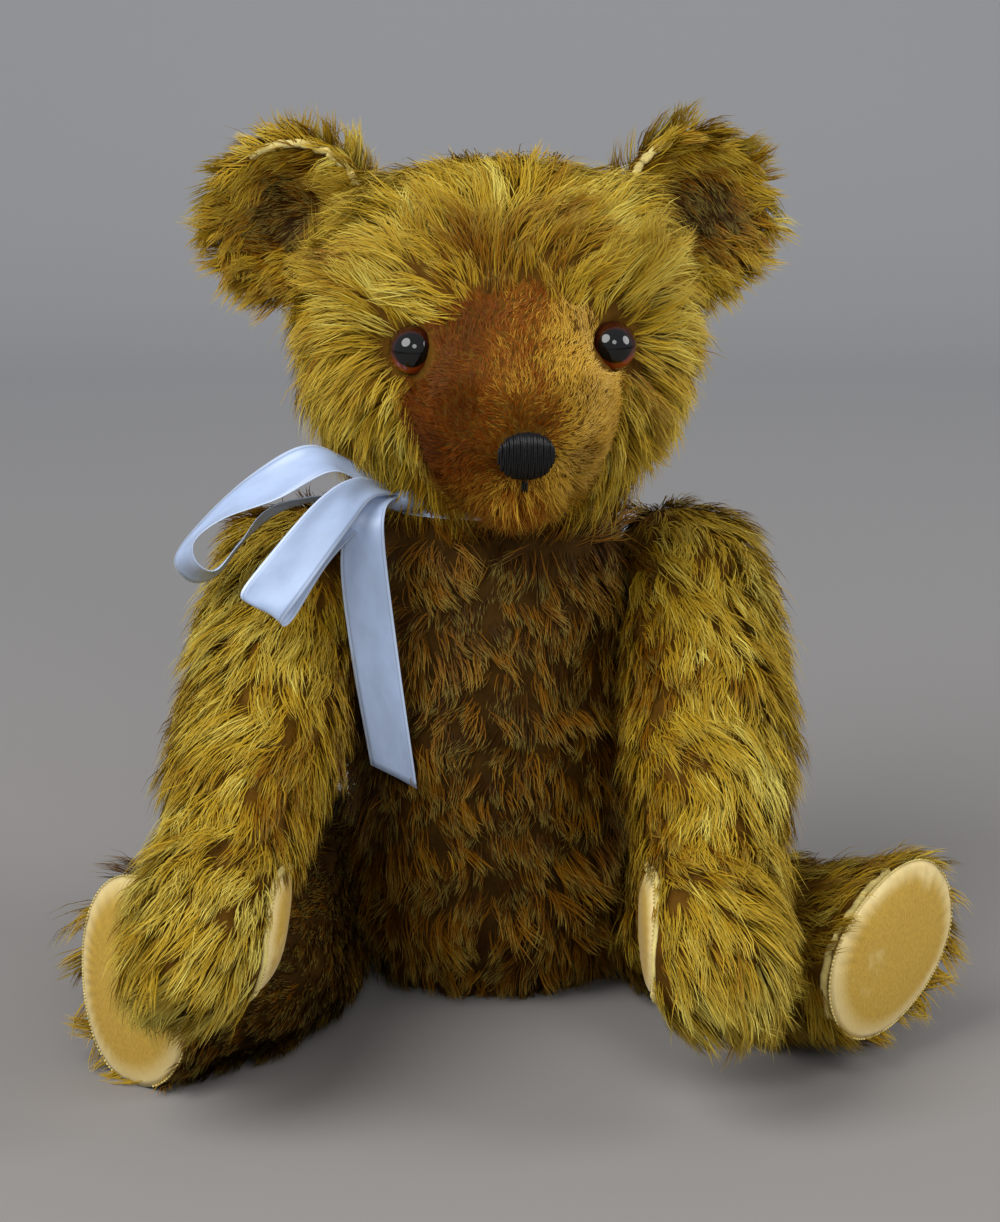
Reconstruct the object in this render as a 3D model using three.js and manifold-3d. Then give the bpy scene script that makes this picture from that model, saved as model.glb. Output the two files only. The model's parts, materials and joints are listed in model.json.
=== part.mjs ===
// A jointed mohair teddy bear, sitting with its legs apart and its arms reaching forward.
// Millimetres, +Z up. The bear faces -Y, and the origin is the middle of the flat under its seat.
// "right" and "left" are the bear's own sides, so its right arm is on -X.
import * as THREE from 'three';
import { mergeVertices } from 'three/addons/utils/BufferGeometryUtils.js';
import Module from 'manifold-3d';

const wasm = await Module();
wasm.setup();

// ---------------------------------------------------------------- driving dimensions
const CLOTH = 2;              // thickness of the mohair cloth
const GAP = 0.35;             // clearance between neighbouring pieces
const PLAY = 0.5;             // half the gap between two bodies where a joint turns
const REACH = 600;            // longer than the bear, for half-space cutters

// Torso: height above the floor, half width, half depth and forward shift of each ring.
const TORSO_RINGS = [
  [-6, 34, 26, 1], [4, 47, 38, 1], [20, 58, 50, 1], [45, 65, 58, 0], [80, 67, 61, -1],
  [120, 67, 61, -2], [160, 68, 57, -2], [192, 69, 53, 0], [216, 64, 48, 0], [236, 49, 40, 0],
  [253, 30, 27, 0],
];
const NECK_HEIGHT = 247;

// Head, about its own centre before it is turned.
const HEAD = { x: 2, y: -6, z: 313, halfWidth: 81, halfDepth: 73, halfHeight: 71, power: 2.3 };
const HEAD_TURN = 6.5;                       // degrees, towards the bear's left
const MUZZLE = { dip: 18.5, length: 45, spread: 27, power: 3 };   // degrees, mm, degrees
const MUZZLE_PATCH = { spread: 33, rise: 8 };                    // the sewn-in cloth, in degrees
const EYE = { radius: 10, apart: 33.4, rise: 1.5, sunk: 1.5 };  // mm and degrees
const NOSE = { halfWidth: 12, halfHeight: 11.5, thick: 3 };
const EAR = { radius: 34, dish: 12, thick: 7, x: 91, y: 2, z: 363, splay: 14, lean: 8 };

// Disc joints: fibreboard discs, steel washers and a split pin through each.
const DISC = { thick: 3, bore: 2.4 };
const WASHER = { radius: 8, thick: 1, bore: 2.4 };
const PIN = { wire: 0.8, eye: 3.2, curl: 3 };
const SHOULDER = { x: 61, y: 2, z: 190, disc: 18, swingRight: 5, swingLeft: 2 };
const HIP = { x: 57.5, y: 4, z: 47, disc: 17, lean: 10, swingRight: 8, swingLeft: 10 };
const NECK_DISC = 19;

// Limbs: centre of each ring, half width across, half height, turn about Z and roll, in degrees.
const RIGHT_ARM_RINGS = [
  { at: [-88, 31, 205], across: 20, tall: 20 }, { at: [-88, 19, 199], across: 31, tall: 31 },
  { at: [-89, -2, 189], across: 34, tall: 37 }, { at: [-93, -34, 169], across: 35, tall: 37 },
  { at: [-98, -68, 149], across: 35, tall: 36 }, { at: [-104, -102, 130], across: 32, tall: 33 },
  { at: [-109, -132, 112], across: 27, tall: 28 }, { at: [-114, -155, 99], across: 28, tall: 29 },
  { at: [-118, -178, 86], across: 30, tall: 31 }, { at: [-121, -197, 76], across: 27, tall: 27 },
  { at: [-122, -210, 69], across: 15, tall: 15 },
];
const LEFT_ARM_RINGS = [
  { at: [88, 31, 205], across: 20, tall: 20 }, { at: [88, 19, 199], across: 31, tall: 31 },
  { at: [89, -2, 189], across: 34, tall: 37 }, { at: [92, -34, 168], across: 36, tall: 38 },
  { at: [94, -67, 145], across: 36, tall: 37 }, { at: [94, -99, 123], across: 33, tall: 34 },
  { at: [93, -127, 105], across: 27, tall: 28 }, { at: [92, -149, 92], across: 28, tall: 30 },
  { at: [92, -171, 79], across: 30, tall: 32 }, { at: [92, -190, 68], across: 27, tall: 28 },
  { at: [92, -203, 60], across: 15, tall: 15 },
];
const RIGHT_LEG_RINGS = [
  { at: [-78, 46, 44], across: 17, tall: 24, turn: 10 },
  { at: [-80, 35, 44], across: 27, tall: 36, turn: 10 },
  { at: [-82, 10, 45], across: 33, tall: 44, turn: 14 },
  { at: [-87, -29, 41], across: 38, tall: 42, turn: 20 },
  { at: [-98, -65, 37], across: 40, tall: 39, turn: 26 },
  { at: [-115, -96, 36], across: 40, tall: 38, turn: 31, roll: 4 },
  { at: [-135, -117, 41], across: 38, tall: 42, turn: 36, roll: 9 },
  { at: [-153, -130, 46], across: 34, tall: 48, turn: 39, roll: 12 },
  { at: [-166, -144, 47], across: 33, tall: 48, turn: 39, roll: 12 },
  { at: [-180, -159, 47], across: 31, tall: 46, turn: 39, roll: 12 },
];
const LEFT_LEG_RINGS = [
  { at: [78, 46, 44], across: 17, tall: 24, turn: -12 },
  { at: [80, 35, 44], across: 27, tall: 36, turn: -12 },
  { at: [82, 10, 45], across: 33, tall: 44, turn: -15 },
  { at: [93, -24, 42], across: 36, tall: 42, turn: -27, roll: -10 },
  { at: [112, -53, 39], across: 35, tall: 39, turn: -34, roll: -22 },
  { at: [136, -77, 38], across: 33, tall: 39, turn: -38, roll: -38 },
  { at: [157, -95, 46], across: 32, tall: 43, turn: -40, roll: -55 },
  { at: [176, -110, 53], across: 33, tall: 48, turn: -39, roll: -64 },
  { at: [190, -122, 54], across: 32, tall: 48, turn: -39, roll: -64 },
  { at: [206, -136, 55], across: 30, tall: 46, turn: -39, roll: -64 },
];
const SOLE = { thick: 2.5, tilt: 8 };        // the velvet sole and how far its toe leans back
// Half length, half width, how far up the paw, and how far round its underside on each arm.
const PAD = { long: 29, wide: 22, shift: 6, under: { right_arm: 9, left_arm: 2 } };

// The satin ribbon: both edges of each stretch, from the knot outwards, as points on a smooth line.
const RIBBON_THICK = 0.8;
const KNOT = { at: [-39, -35, 242], radii: [12, 10, 8] };
const COLLAR = { rise: 245, drop: 231, top: [44, 37.5], bottom: [56.5, 47.5], back: -1 };
const UPPER_LOOP = [
  [[-46, -38, 248], [-62, -44, 259], [-82, -49, 267], [-106, -50, 254], [-129, -52, 233],
    [-141, -54, 216], [-134, -52, 205], [-122, -50, 208], [-107, -48, 226], [-87, -48, 239],
    [-48, -38, 244]],
  [[-45, -43, 245], [-57, -56, 252], [-70, -63, 258], [-93, -68, 247], [-117, -72, 239],
    [-130, -73, 229], [-129, -72, 219], [-121, -70, 215], [-111, -66, 226], [-94, -62, 243],
    [-48, -44, 246]],
];
const LOWER_LOOP = [
  [[-46, -42, 248], [-60, -62, 255], [-76, -78, 248], [-101, -96, 222], [-108, -101, 212],
    [-103, -95, 210], [-86, -80, 230], [-46, -44, 246]],
  [[-42, -46, 244], [-52, -64, 246], [-61, -79, 237], [-81, -96, 212], [-90, -101, 200],
    [-86, -95, 199], [-69, -80, 223], [-43, -45, 243]],
];
const TAIL = [
  [[-47, -42, 244], [-60, -62, 242], [-66, -69, 220], [-62, -65, 174], [-54, -61, 122]],
  [[-40, -44, 243], [-46, -63, 241], [-46, -69, 222], [-40, -64, 166], [-33, -60, 110]],
];

const COLOURS = {
  mohair: 0x96803a, belly: 0x7a5a22, muzzle: 0xa86a1c, velvet: 0xd2b070, stuffing: 0xc9b27e,
  board: 0x8a6a45, steel: 0x9a9a98, amber: 0x5a1c08, thread: 0x141414, satin: 0xa5b9e1,
};

// ---------------------------------------------------------------- solids
const DEGREES = Math.PI / 180;
const vec = (x, y, z) => new THREE.Vector3(x, y, z);

function toSolid(geometry) {
  const bare = geometry.clone();
  for (const name of Object.keys(bare.attributes)) {
    if (name !== 'position') bare.deleteAttribute(name);
  }
  const merged = mergeVertices(bare, 1e-3);
  return new wasm.Manifold(new wasm.Mesh({
    numProp: 3,
    vertProperties: new Float32Array(merged.attributes.position.array),
    triVerts: new Uint32Array(merged.index.array),
  }));
}

function toGeometry(solid) {
  const mesh = solid.getMesh();
  const geometry = new THREE.BufferGeometry();
  geometry.setAttribute('position', new THREE.BufferAttribute(new Float32Array(mesh.vertProperties), 3));
  geometry.setIndex(new THREE.BufferAttribute(new Uint32Array(mesh.triVerts), 1));
  geometry.computeVertexNormals();
  return geometry;
}

// A closed body through rings of points, with a point in the middle of both end rings.
function skinThrough(rings) {
  const sides = rings[0].length;
  const middle = (ring) => ring.reduce((sum, p) => sum.add(p), vec()).divideScalar(sides);
  const points = [...rings.flat(), middle(rings[0]), middle(rings.at(-1))];
  const index = [];
  const start = rings.length * sides;
  for (let i = 0; i < sides; i += 1) {
    const next = (i + 1) % sides;
    for (let row = 0; row + 1 < rings.length; row += 1) {
      const low = row * sides;
      const high = low + sides;
      index.push(low + i, low + next, high + i, low + next, high + next, high + i);
    }
    const last = (rings.length - 1) * sides;
    index.push(start, next, i, start + 1, last + i, last + next);
  }
  const geometry = new THREE.BufferGeometry().setFromPoints(points);
  geometry.setIndex(index);
  return outward(geometry);
}

// A body through oval rings, each given as its centre and two half axes. power is 2 for an
// ellipse and more for a squarer section.
function loft(rings, sides, power = 2.2) {
  const squared = (c) => Math.sign(c) * Math.abs(c) ** (2 / power);
  return skinThrough(rings.map(({ centre, across, tall }) => (
    Array.from({ length: sides }, (_, i) => {
      const angle = (i / sides) * 2 * Math.PI;
      return centre.clone()
        .addScaledVector(across, squared(Math.cos(angle)))
        .addScaledVector(tall, squared(Math.sin(angle)));
    })
  )));
}

// Turns a closed geometry's faces outward, whichever way they were wound.
function outward(geometry) {
  const place = geometry.attributes.position;
  const index = geometry.index.array;
  const corner = [vec(), vec(), vec()];
  let volume = 0;
  for (let i = 0; i < index.length; i += 3) {
    corner.forEach((c, k) => c.fromBufferAttribute(place, index[i + k]));
    volume += corner[0].dot(corner[1].clone().cross(corner[2]));
  }
  if (volume < 0) {
    for (let i = 0; i < index.length; i += 3) {
      [index[i + 1], index[i + 2]] = [index[i + 2], index[i + 1]];
    }
  }
  return geometry;
}

// The same skin moved inward along its own normals.
function shrunk(geometry, distance) {
  const inner = geometry.clone();
  inner.computeVertexNormals();
  const place = inner.attributes.position;
  const normal = inner.attributes.normal;
  for (let i = 0; i < place.count; i += 1) {
    place.setXYZ(
      i,
      place.getX(i) - distance * normal.getX(i),
      place.getY(i) - distance * normal.getY(i),
      place.getZ(i) - distance * normal.getZ(i),
    );
  }
  return inner;
}

// Everything on the side of a plane that its normal points away from.
function behind(point, normal, offset = 0) {
  const block = new THREE.BoxGeometry(REACH, REACH, REACH);
  block.translate(0, 0, -REACH / 2 + offset);
  const turn = new THREE.Quaternion().setFromUnitVectors(vec(0, 0, 1), normal);
  block.applyQuaternion(turn);
  block.translate(point.x, point.y, point.z);
  return toSolid(block);
}

// The biggest piece of a cut solid, without its crumbs.
const largest = (solid) => solid.decompose().reduce((a, b) => (a.volume() > b.volume() ? a : b));

// A round piece about a joint's axis: [radius, place along the axis] pairs, closed on themselves
// or ending on the axis.
function turned(profile, joint, sides) {
  const geometry = new THREE.LatheGeometry(profile.map(([r, w]) => new THREE.Vector2(r, w)), sides);
  const turn = new THREE.Quaternion().setFromUnitVectors(vec(0, 1, 0), joint.axis);
  geometry.applyQuaternion(turn);
  geometry.translate(joint.origin.x, joint.origin.y, joint.origin.z);
  const bare = geometry.clone();
  bare.deleteAttribute('normal');
  bare.deleteAttribute('uv');
  return outward(mergeVertices(bare, 1e-3));
}

const plug = (joint, radius, low, high, sides = 16) => toSolid(
  turned([[0, low], [radius, low], [radius, high], [0, high]], joint, sides),
);

const ring = (joint, radius, bore, low, high, sides) => turned(
  [[bore, low], [radius, low], [radius, high], [bore, high], [bore, low]], joint, sides,
);

// ---------------------------------------------------------------- the bear as a group of meshes
const bear = new THREE.Group();
bear.name = 'teddy_bear';

function add(name, shape, colour, roughness = 0.95, metalness = 0) {
  const geometry = shape.isBufferGeometry ? shape : toGeometry(shape);
  const mesh = new THREE.Mesh(
    geometry,
    new THREE.MeshStandardMaterial({ color: colour, roughness, metalness }),
  );
  mesh.name = name;
  bear.add(mesh);
  return mesh;
}

// ---------------------------------------------------------------- joints
const leaning = (side, swing, lean) => vec(
  side * Math.cos(lean * DEGREES) * Math.cos(swing * DEGREES),
  Math.cos(lean * DEGREES) * Math.sin(swing * DEGREES),
  -Math.sin(lean * DEGREES),
);
const JOINTS = {
  neck: { origin: vec(HEAD.x, 0, NECK_HEIGHT), axis: vec(0, 0, 1), disc: NECK_DISC },
  right_shoulder: {
    origin: vec(-SHOULDER.x, SHOULDER.y, SHOULDER.z),
    axis: leaning(-1, SHOULDER.swingRight, 0), disc: SHOULDER.disc,
  },
  left_shoulder: {
    origin: vec(SHOULDER.x, SHOULDER.y, SHOULDER.z),
    axis: leaning(1, SHOULDER.swingLeft, 0), disc: SHOULDER.disc,
  },
  right_hip: {
    origin: vec(-HIP.x, HIP.y, HIP.z), axis: leaning(-1, HIP.swingRight, HIP.lean), disc: HIP.disc,
  },
  left_hip: {
    origin: vec(HIP.x, HIP.y, HIP.z), axis: leaning(1, HIP.swingLeft, HIP.lean), disc: HIP.disc,
  },
};

// Places along a joint's axis, from its middle out into the limb. The body's own side mirrors them.
const DISC_FROM = PLAY + CLOTH + GAP;
const DISC_TO = DISC_FROM + DISC.thick;
const WASHER_FROM = DISC_TO + GAP;
const WASHER_TO = WASHER_FROM + WASHER.thick;
const PIN_FROM = WASHER_TO + GAP + PIN.wire;
const POCKET = PIN_FROM + 2 * PIN.eye + 2 * PIN.wire + 2;

// The room that one side of a joint needs in the stuffing.
function pocket(joint, side) {
  const span = (low, high) => (side > 0 ? [low, high] : [-high, -low]);
  return plug(joint, joint.disc + 1, ...span(0, DISC_TO + GAP))
    .add(plug(joint, WASHER.radius + 1, ...span(0, POCKET), 10));
}

const pinHole = (joint) => plug(joint, DISC.bore, -POCKET, POCKET, 10);

// The wire of a split pin: out of one curl, up the shank, round the eye and back down.
class SplitPin extends THREE.Curve {
  constructor(joint) {
    super();
    this.joint = joint;
    this.side = vec(0, 1, 0).cross(joint.axis).lengthSq() > 0.1
      ? vec(0, 1, 0).cross(joint.axis).normalize() : vec(1, 0, 0);
    const half = PIN.wire + 0.1;
    const far = PIN_FROM + PIN.eye + Math.sqrt(PIN.eye ** 2 - half ** 2);
    const points = [];
    for (let i = 0; i <= 4; i += 1) {            // the curled leg, tip first
      const angle = (200 - i * 50) * DEGREES;
      points.push([half + PIN.curl - PIN.curl * Math.cos(angle),
        -PIN_FROM - PIN.curl * Math.sin(angle)]);
    }
    points.push([half, 0], [half, PIN_FROM + PIN.eye - Math.sqrt(PIN.eye ** 2 - half ** 2)]);
    for (let i = 1; i <= 3; i += 1) {            // half of the eye
      const angle = (-90 + i * 45) * DEGREES;
      points.push([PIN.eye * Math.cos(angle), far - PIN.eye + PIN.eye * Math.sin(angle)]);
    }
    const mirrored = points.slice().reverse().map(([x, w]) => [-x, w]);
    this.path = new THREE.CatmullRomCurve3(
      [...points, [0, far + 0.2], ...mirrored].map(([x, w]) => this.place(x, w)), false, 'centripetal',
    );
  }

  place(x, w) {
    return this.joint.origin.clone().addScaledVector(this.side, x).addScaledVector(this.joint.axis, w);
  }

  getPoint(t, target = vec()) {
    return target.copy(this.path.getPoint(t));
  }
}

function wireSection(radius, sides) {
  const shape = new THREE.Shape();
  for (let i = 0; i < sides; i += 1) {
    const angle = (i / sides) * 2 * Math.PI;
    const [x, y] = [radius * Math.cos(angle), radius * Math.sin(angle)];
    if (i) shape.lineTo(x, y); else shape.moveTo(x, y);
  }
  return shape;
}

function addJointPieces(name, limb, body) {
  const joint = JOINTS[name];
  add(`${limb}_disc`, ring(joint, joint.disc, DISC.bore, DISC_FROM, DISC_TO, 16), COLOURS.board);
  add(`${limb}_washer`, ring(joint, WASHER.radius, WASHER.bore, WASHER_FROM, WASHER_TO, 10),
    COLOURS.steel, 0.4, 0.9);
  add(`${body}_disc`, ring(joint, joint.disc, DISC.bore, -DISC_TO, -DISC_FROM, 16), COLOURS.board);
  add(`${body}_washer`, ring(joint, WASHER.radius, WASHER.bore, -WASHER_TO, -WASHER_FROM, 10),
    COLOURS.steel, 0.4, 0.9);
  const pin = new THREE.ExtrudeGeometry(wireSection(PIN.wire, 5), {
    steps: 20, bevelEnabled: false, extrudePath: new SplitPin(joint),
  });
  const bare = pin.clone();
  bare.deleteAttribute('normal');
  bare.deleteAttribute('uv');
  add(`${name}_split_pin`, outward(mergeVertices(bare, 1e-3)), COLOURS.steel, 0.35, 0.9);
}

// ---------------------------------------------------------------- torso
function torsoSkin() {
  const heights = new THREE.SplineCurve(TORSO_RINGS.map(([z, w]) => new THREE.Vector2(w, z)));
  const depths = new THREE.SplineCurve(TORSO_RINGS.map(([z, , d]) => new THREE.Vector2(d, z)));
  const shifts = new THREE.SplineCurve(TORSO_RINGS.map(([z, , , s]) => new THREE.Vector2(s, z)));
  const rings = [];
  const rows = 10;
  for (let i = 0; i <= rows; i += 1) {
    const t = i / rows;
    rings.push({
      centre: vec(0, shifts.getPoint(t).x, heights.getPoint(t).y),
      across: vec(heights.getPoint(t).x, 0, 0),
      tall: vec(0, depths.getPoint(t).x, 0),
    });
  }
  return loft(rings, 16, 2.15);
}

// The torso, cut flat at its seat, at its neck and where each limb turns against it.
function torsoBody(skin, inward) {
  let solid = toSolid(inward ? shrunk(skin, inward) : skin);
  for (const joint of Object.values(JOINTS)) {
    solid = solid.intersect(behind(joint.origin, joint.axis, -PLAY - inward));
  }
  return solid.intersect(behind(vec(0, 0, inward), vec(0, 0, -1)));
}

function buildTorso() {
  const skin = torsoSkin();
  let cover = torsoBody(skin, 0).subtract(torsoBody(skin, CLOTH));
  let stuffing = torsoBody(skin, CLOTH + GAP);
  for (const joint of Object.values(JOINTS)) {
    cover = cover.subtract(pinHole(joint));
    stuffing = stuffing.subtract(pocket(joint, -1));
  }
  add('torso_cover', cover, COLOURS.belly);
  add('torso_stuffing', stuffing, COLOURS.stuffing);
}

// ---------------------------------------------------------------- limbs
// Turns a list of ring descriptions into lofted rings. Without a turn of its own a ring stands
// square across the line through its neighbours.
function limbRings(list) {
  return list.map((ringAt, i) => {
    const centre = vec(...ringAt.at);
    const before = vec(...list[Math.max(i - 1, 0)].at);
    const after = vec(...list[Math.min(i + 1, list.length - 1)].at);
    const along = ringAt.turn === undefined
      ? after.sub(before).normalize()
      : vec(0, -1, 0).applyAxisAngle(vec(0, 0, 1), -ringAt.turn * DEGREES);
    const side = along.clone().cross(vec(0, 0, 1)).normalize();
    const up = side.clone().cross(along).normalize();
    const roll = (ringAt.roll ?? 0) * DEGREES;
    side.applyAxisAngle(along, roll);
    up.applyAxisAngle(along, roll);
    return {
      centre, along,
      across: side.multiplyScalar(ringAt.across),
      tall: up.multiplyScalar(ringAt.tall),
    };
  });
}

// A limb is a cloth cover round firm stuffing, with a flat side that turns against the torso.
function limbSolids(rings, joint, keepAbove) {
  const skin = loft(rings, 12, 2.2);
  const turning = joint.axis.clone().negate();
  return (inward) => {
    let kept = toSolid(inward ? shrunk(skin, inward) : skin)
      .intersect(behind(joint.origin, turning, -PLAY - inward));
    if (keepAbove) kept = kept.intersect(behind(vec(0, 0, inward), vec(0, 0, -1)));
    return kept;
  };
}

// The palm pad is an oval of velvet let into the side of the paw that faces the other paw.
function buildArm(name, rings, joint, side) {
  const solid = limbSolids(rings, joint, false);
  const { centre, along } = rings.at(-3);
  const palm = (grow) => {
    const oval = new THREE.CylinderGeometry(1, 1, REACH, 16);
    oval.scale(PAD.wide + grow, 1, PAD.long + grow);
    oval.translate(0, REACH / 2, 0);
    const across = vec(-side, 0, 0);
    const lengthwise = along.clone().projectOnPlane(across).normalize();
    oval.applyMatrix4(new THREE.Matrix4()
      .makeBasis(across.clone().cross(lengthwise), across, lengthwise));
    const under = across.clone().cross(lengthwise).multiplyScalar(-side);
    const middle = centre.clone().addScaledVector(along, -PAD.shift)
      .addScaledVector(under, PAD.under[name]);
    oval.translate(middle.x, middle.y, middle.z);
    return toSolid(oval);
  };
  const shell = solid(0).subtract(solid(CLOTH)).subtract(pinHole(joint));
  add(`${name}_cover`, shell.subtract(palm(GAP)), COLOURS.mohair);
  add(`${name}_palm_pad`, shell.intersect(palm(0)), COLOURS.velvet);
  add(`${name}_stuffing`, solid(CLOTH + GAP).subtract(pocket(joint, 1)), COLOURS.stuffing);
}

// The sole is a flat oval of velvet that closes the end of the foot, with its toe leaning back.
function buildLeg(name, rings, joint) {
  const solid = limbSolids(rings, joint, true);
  const { centre, along, tall } = rings.at(-3);
  const hinge = along.clone().cross(tall).normalize();
  const out = along.clone().applyAxisAngle(hinge, SOLE.tilt * DEGREES);
  const short = (offset) => behind(centre, out, offset);
  add(`${name}_cover`, solid(0).intersect(short(0)).subtract(solid(CLOTH)).subtract(pinHole(joint)),
    COLOURS.mohair);
  add(`${name}_stuffing`,
    solid(CLOTH + GAP).intersect(short(-GAP)).subtract(pocket(joint, 1)), COLOURS.stuffing);
  add(`${name}_sole`,
    solid(0.4).intersect(short(GAP + SOLE.thick)).subtract(short(GAP)), COLOURS.velvet);
}

function buildLimbs() {
  buildArm('right_arm', limbRings(RIGHT_ARM_RINGS), JOINTS.right_shoulder, -1);
  buildArm('left_arm', limbRings(LEFT_ARM_RINGS), JOINTS.left_shoulder, 1);
  buildLeg('right_leg', limbRings(RIGHT_LEG_RINGS), JOINTS.right_hip);
  buildLeg('left_leg', limbRings(LEFT_LEG_RINGS), JOINTS.left_hip);
}

// ---------------------------------------------------------------- head
const HEAD_CENTRE = vec(HEAD.x, HEAD.y, HEAD.z);
const MUZZLE_AXIS = vec(0, -Math.cos(MUZZLE.dip * DEGREES), -Math.sin(MUZZLE.dip * DEGREES));

// How far the head's cloth is from the head's centre, in a direction: an oval skull with a short
// broad muzzle standing out of it.
function headReach(direction) {
  const skull = (Math.abs(direction.x / HEAD.halfWidth) ** HEAD.power
    + Math.abs(direction.y / HEAD.halfDepth) ** HEAD.power
    + Math.abs(direction.z / HEAD.halfHeight) ** HEAD.power) ** (-1 / HEAD.power);
  const off = direction.angleTo(MUZZLE_AXIS) / (MUZZLE.spread * DEGREES);
  return skull + MUZZLE.length * Math.exp(-(off ** MUZZLE.power));
}

function headSkin() {
  const geometry = new THREE.SphereGeometry(1, 20, 14);
  geometry.deleteAttribute('normal');
  geometry.deleteAttribute('uv');
  geometry.rotateX(-Math.PI / 2 + MUZZLE.dip * DEGREES);
  const skin = mergeVertices(geometry, 1e-5);
  const place = skin.attributes.position;
  const point = vec();
  for (let i = 0; i < place.count; i += 1) {
    point.fromBufferAttribute(place, i).normalize();
    point.multiplyScalar(headReach(point)).add(HEAD_CENTRE);
    place.setXYZ(i, point.x, point.y, point.z);
  }
  return outward(skin);
}

const turnHead = (solid) => {
  const turn = new THREE.Matrix4().makeTranslation(HEAD.x, 0, 0)
    .multiply(new THREE.Matrix4().makeRotationZ(HEAD_TURN * DEGREES))
    .multiply(new THREE.Matrix4().makeTranslation(-HEAD.x, 0, 0));
  return toGeometry(solid).applyMatrix4(turn);
};

const onHead = (azimuth, rise, beyond = 0) => {
  const direction = vec(
    Math.sin(azimuth * DEGREES) * Math.cos(rise * DEGREES),
    -Math.cos(azimuth * DEGREES) * Math.cos(rise * DEGREES),
    Math.sin(rise * DEGREES),
  );
  return HEAD_CENTRE.clone().addScaledVector(direction, headReach(direction) + beyond);
};

function ball(centre, radius, across = 12, down = 8, squash = vec(1, 1, 1)) {
  const geometry = new THREE.SphereGeometry(radius, across, down);
  geometry.scale(squash.x, squash.y, squash.z);
  geometry.translate(centre.x, centre.y, centre.z);
  return toSolid(geometry);
}

// The cone of directions that the sewn-in muzzle cloth covers.
function muzzleCone(spread) {
  const length = 200;
  const turn = new THREE.Quaternion().setFromUnitVectors(
    vec(0, -1, 0), vec(0, -Math.cos((MUZZLE.dip - MUZZLE_PATCH.rise) * DEGREES),
      -Math.sin((MUZZLE.dip - MUZZLE_PATCH.rise) * DEGREES)),
  );
  const cone = new THREE.ConeGeometry(length * Math.tan(spread * DEGREES), length, 20);
  cone.translate(0, -length / 2, 0);
  cone.applyQuaternion(turn);
  cone.translate(HEAD_CENTRE.x, HEAD_CENTRE.y, HEAD_CENTRE.z);
  return toSolid(cone);
}

function earDish(side) {
  const { radius, dish, thick } = EAR;
  const profile = [];
  const steps = 4;
  for (let i = 0; i <= steps; i += 1) {
    const r = (radius * i) / steps;
    profile.push(new THREE.Vector2(r, -dish * (1 - (r / radius) ** 2)));
  }
  profile.push(new THREE.Vector2(radius + thick * 0.4, -thick * 0.5));
  for (let i = steps; i >= 0; i -= 1) {
    const r = (radius * i) / steps;
    profile.push(new THREE.Vector2(r, -thick - dish * (1 - (r / radius) ** 2)));
  }
  const geometry = new THREE.LatheGeometry(profile, 14);
  geometry.rotateX(Math.PI - EAR.lean * DEGREES);
  geometry.rotateZ(side * EAR.splay * DEGREES);
  geometry.translate(HEAD.x + side * EAR.x, EAR.y, EAR.z);
  const bare = geometry.clone();
  bare.deleteAttribute('normal');
  bare.deleteAttribute('uv');
  return toSolid(outward(mergeVertices(bare, 1e-3)));
}

function buildHead() {
  const skin = headSkin();
  const joint = JOINTS.neck;
  const above = (solid, inward) => solid.intersect(
    behind(joint.origin, joint.axis.clone().negate(), -PLAY - inward),
  );
  const outer = above(toSolid(skin), 0);
  const shell = outer
    .subtract(above(toSolid(shrunk(skin, CLOTH)), CLOTH))
    .subtract(pinHole(joint));
  const eyes = [-1, 1].map((side) => onHead(side * EYE.apart, EYE.rise, -EYE.sunk));
  const sockets = eyes.map((centre) => ball(centre, EYE.radius + GAP))
    .reduce((both, socket) => both.add(socket));
  const nosePoint = onHead(0, -MUZZLE.dip + 1, 0);
  const nose = ball(nosePoint, 1, 12, 8, vec(NOSE.halfWidth, NOSE.thick + 4, NOSE.halfHeight))
    .subtract(toSolid(shrunk(skin, -GAP)));
  add('head_cover', turnHead(shell.subtract(muzzleCone(MUZZLE_PATCH.spread)).subtract(sockets)),
    COLOURS.mohair);
  add('muzzle_cover',
    turnHead(shell.intersect(muzzleCone(MUZZLE_PATCH.spread - 0.4)).subtract(sockets)),
    COLOURS.muzzle);
  add('head_stuffing', turnHead(
    above(toSolid(shrunk(skin, CLOTH + GAP)), CLOTH + GAP)
      .subtract(pocket(joint, 1)).subtract(sockets),
  ), COLOURS.stuffing);
  add('right_eye', turnHead(ball(eyes[0], EYE.radius)), COLOURS.amber, 0.05);
  add('left_eye', turnHead(ball(eyes[1], EYE.radius)), COLOURS.amber, 0.05);
  add('nose_stitching', turnHead(nose), COLOURS.thread, 0.8);
  const clear = toSolid(shrunk(skin, -GAP));
  add('right_ear', turnHead(largest(earDish(-1).subtract(clear))), COLOURS.mohair);
  add('left_ear', turnHead(largest(earDish(1).subtract(clear))), COLOURS.mohair);
}

// ---------------------------------------------------------------- ribbon
// A stretch of ribbon between its two edges.
function band(edges, steps) {
  const [first, second] = edges.map((edge) => new THREE.CatmullRomCurve3(edge.map((p) => vec(...p))));
  const rings = [];
  for (let i = 0; i <= steps; i += 1) {
    const t = i / steps;
    const [a, b] = [first.getPoint(t), second.getPoint(t)];
    const along = first.getTangent(t).add(second.getTangent(t)).normalize();
    const out = b.clone().sub(a).cross(along).setLength(RIBBON_THICK / 2);
    rings.push([a.clone().sub(out), b.clone().sub(out), b.clone().add(out), a.clone().add(out)]);
  }
  return toSolid(skinThrough(rings));
}

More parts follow.
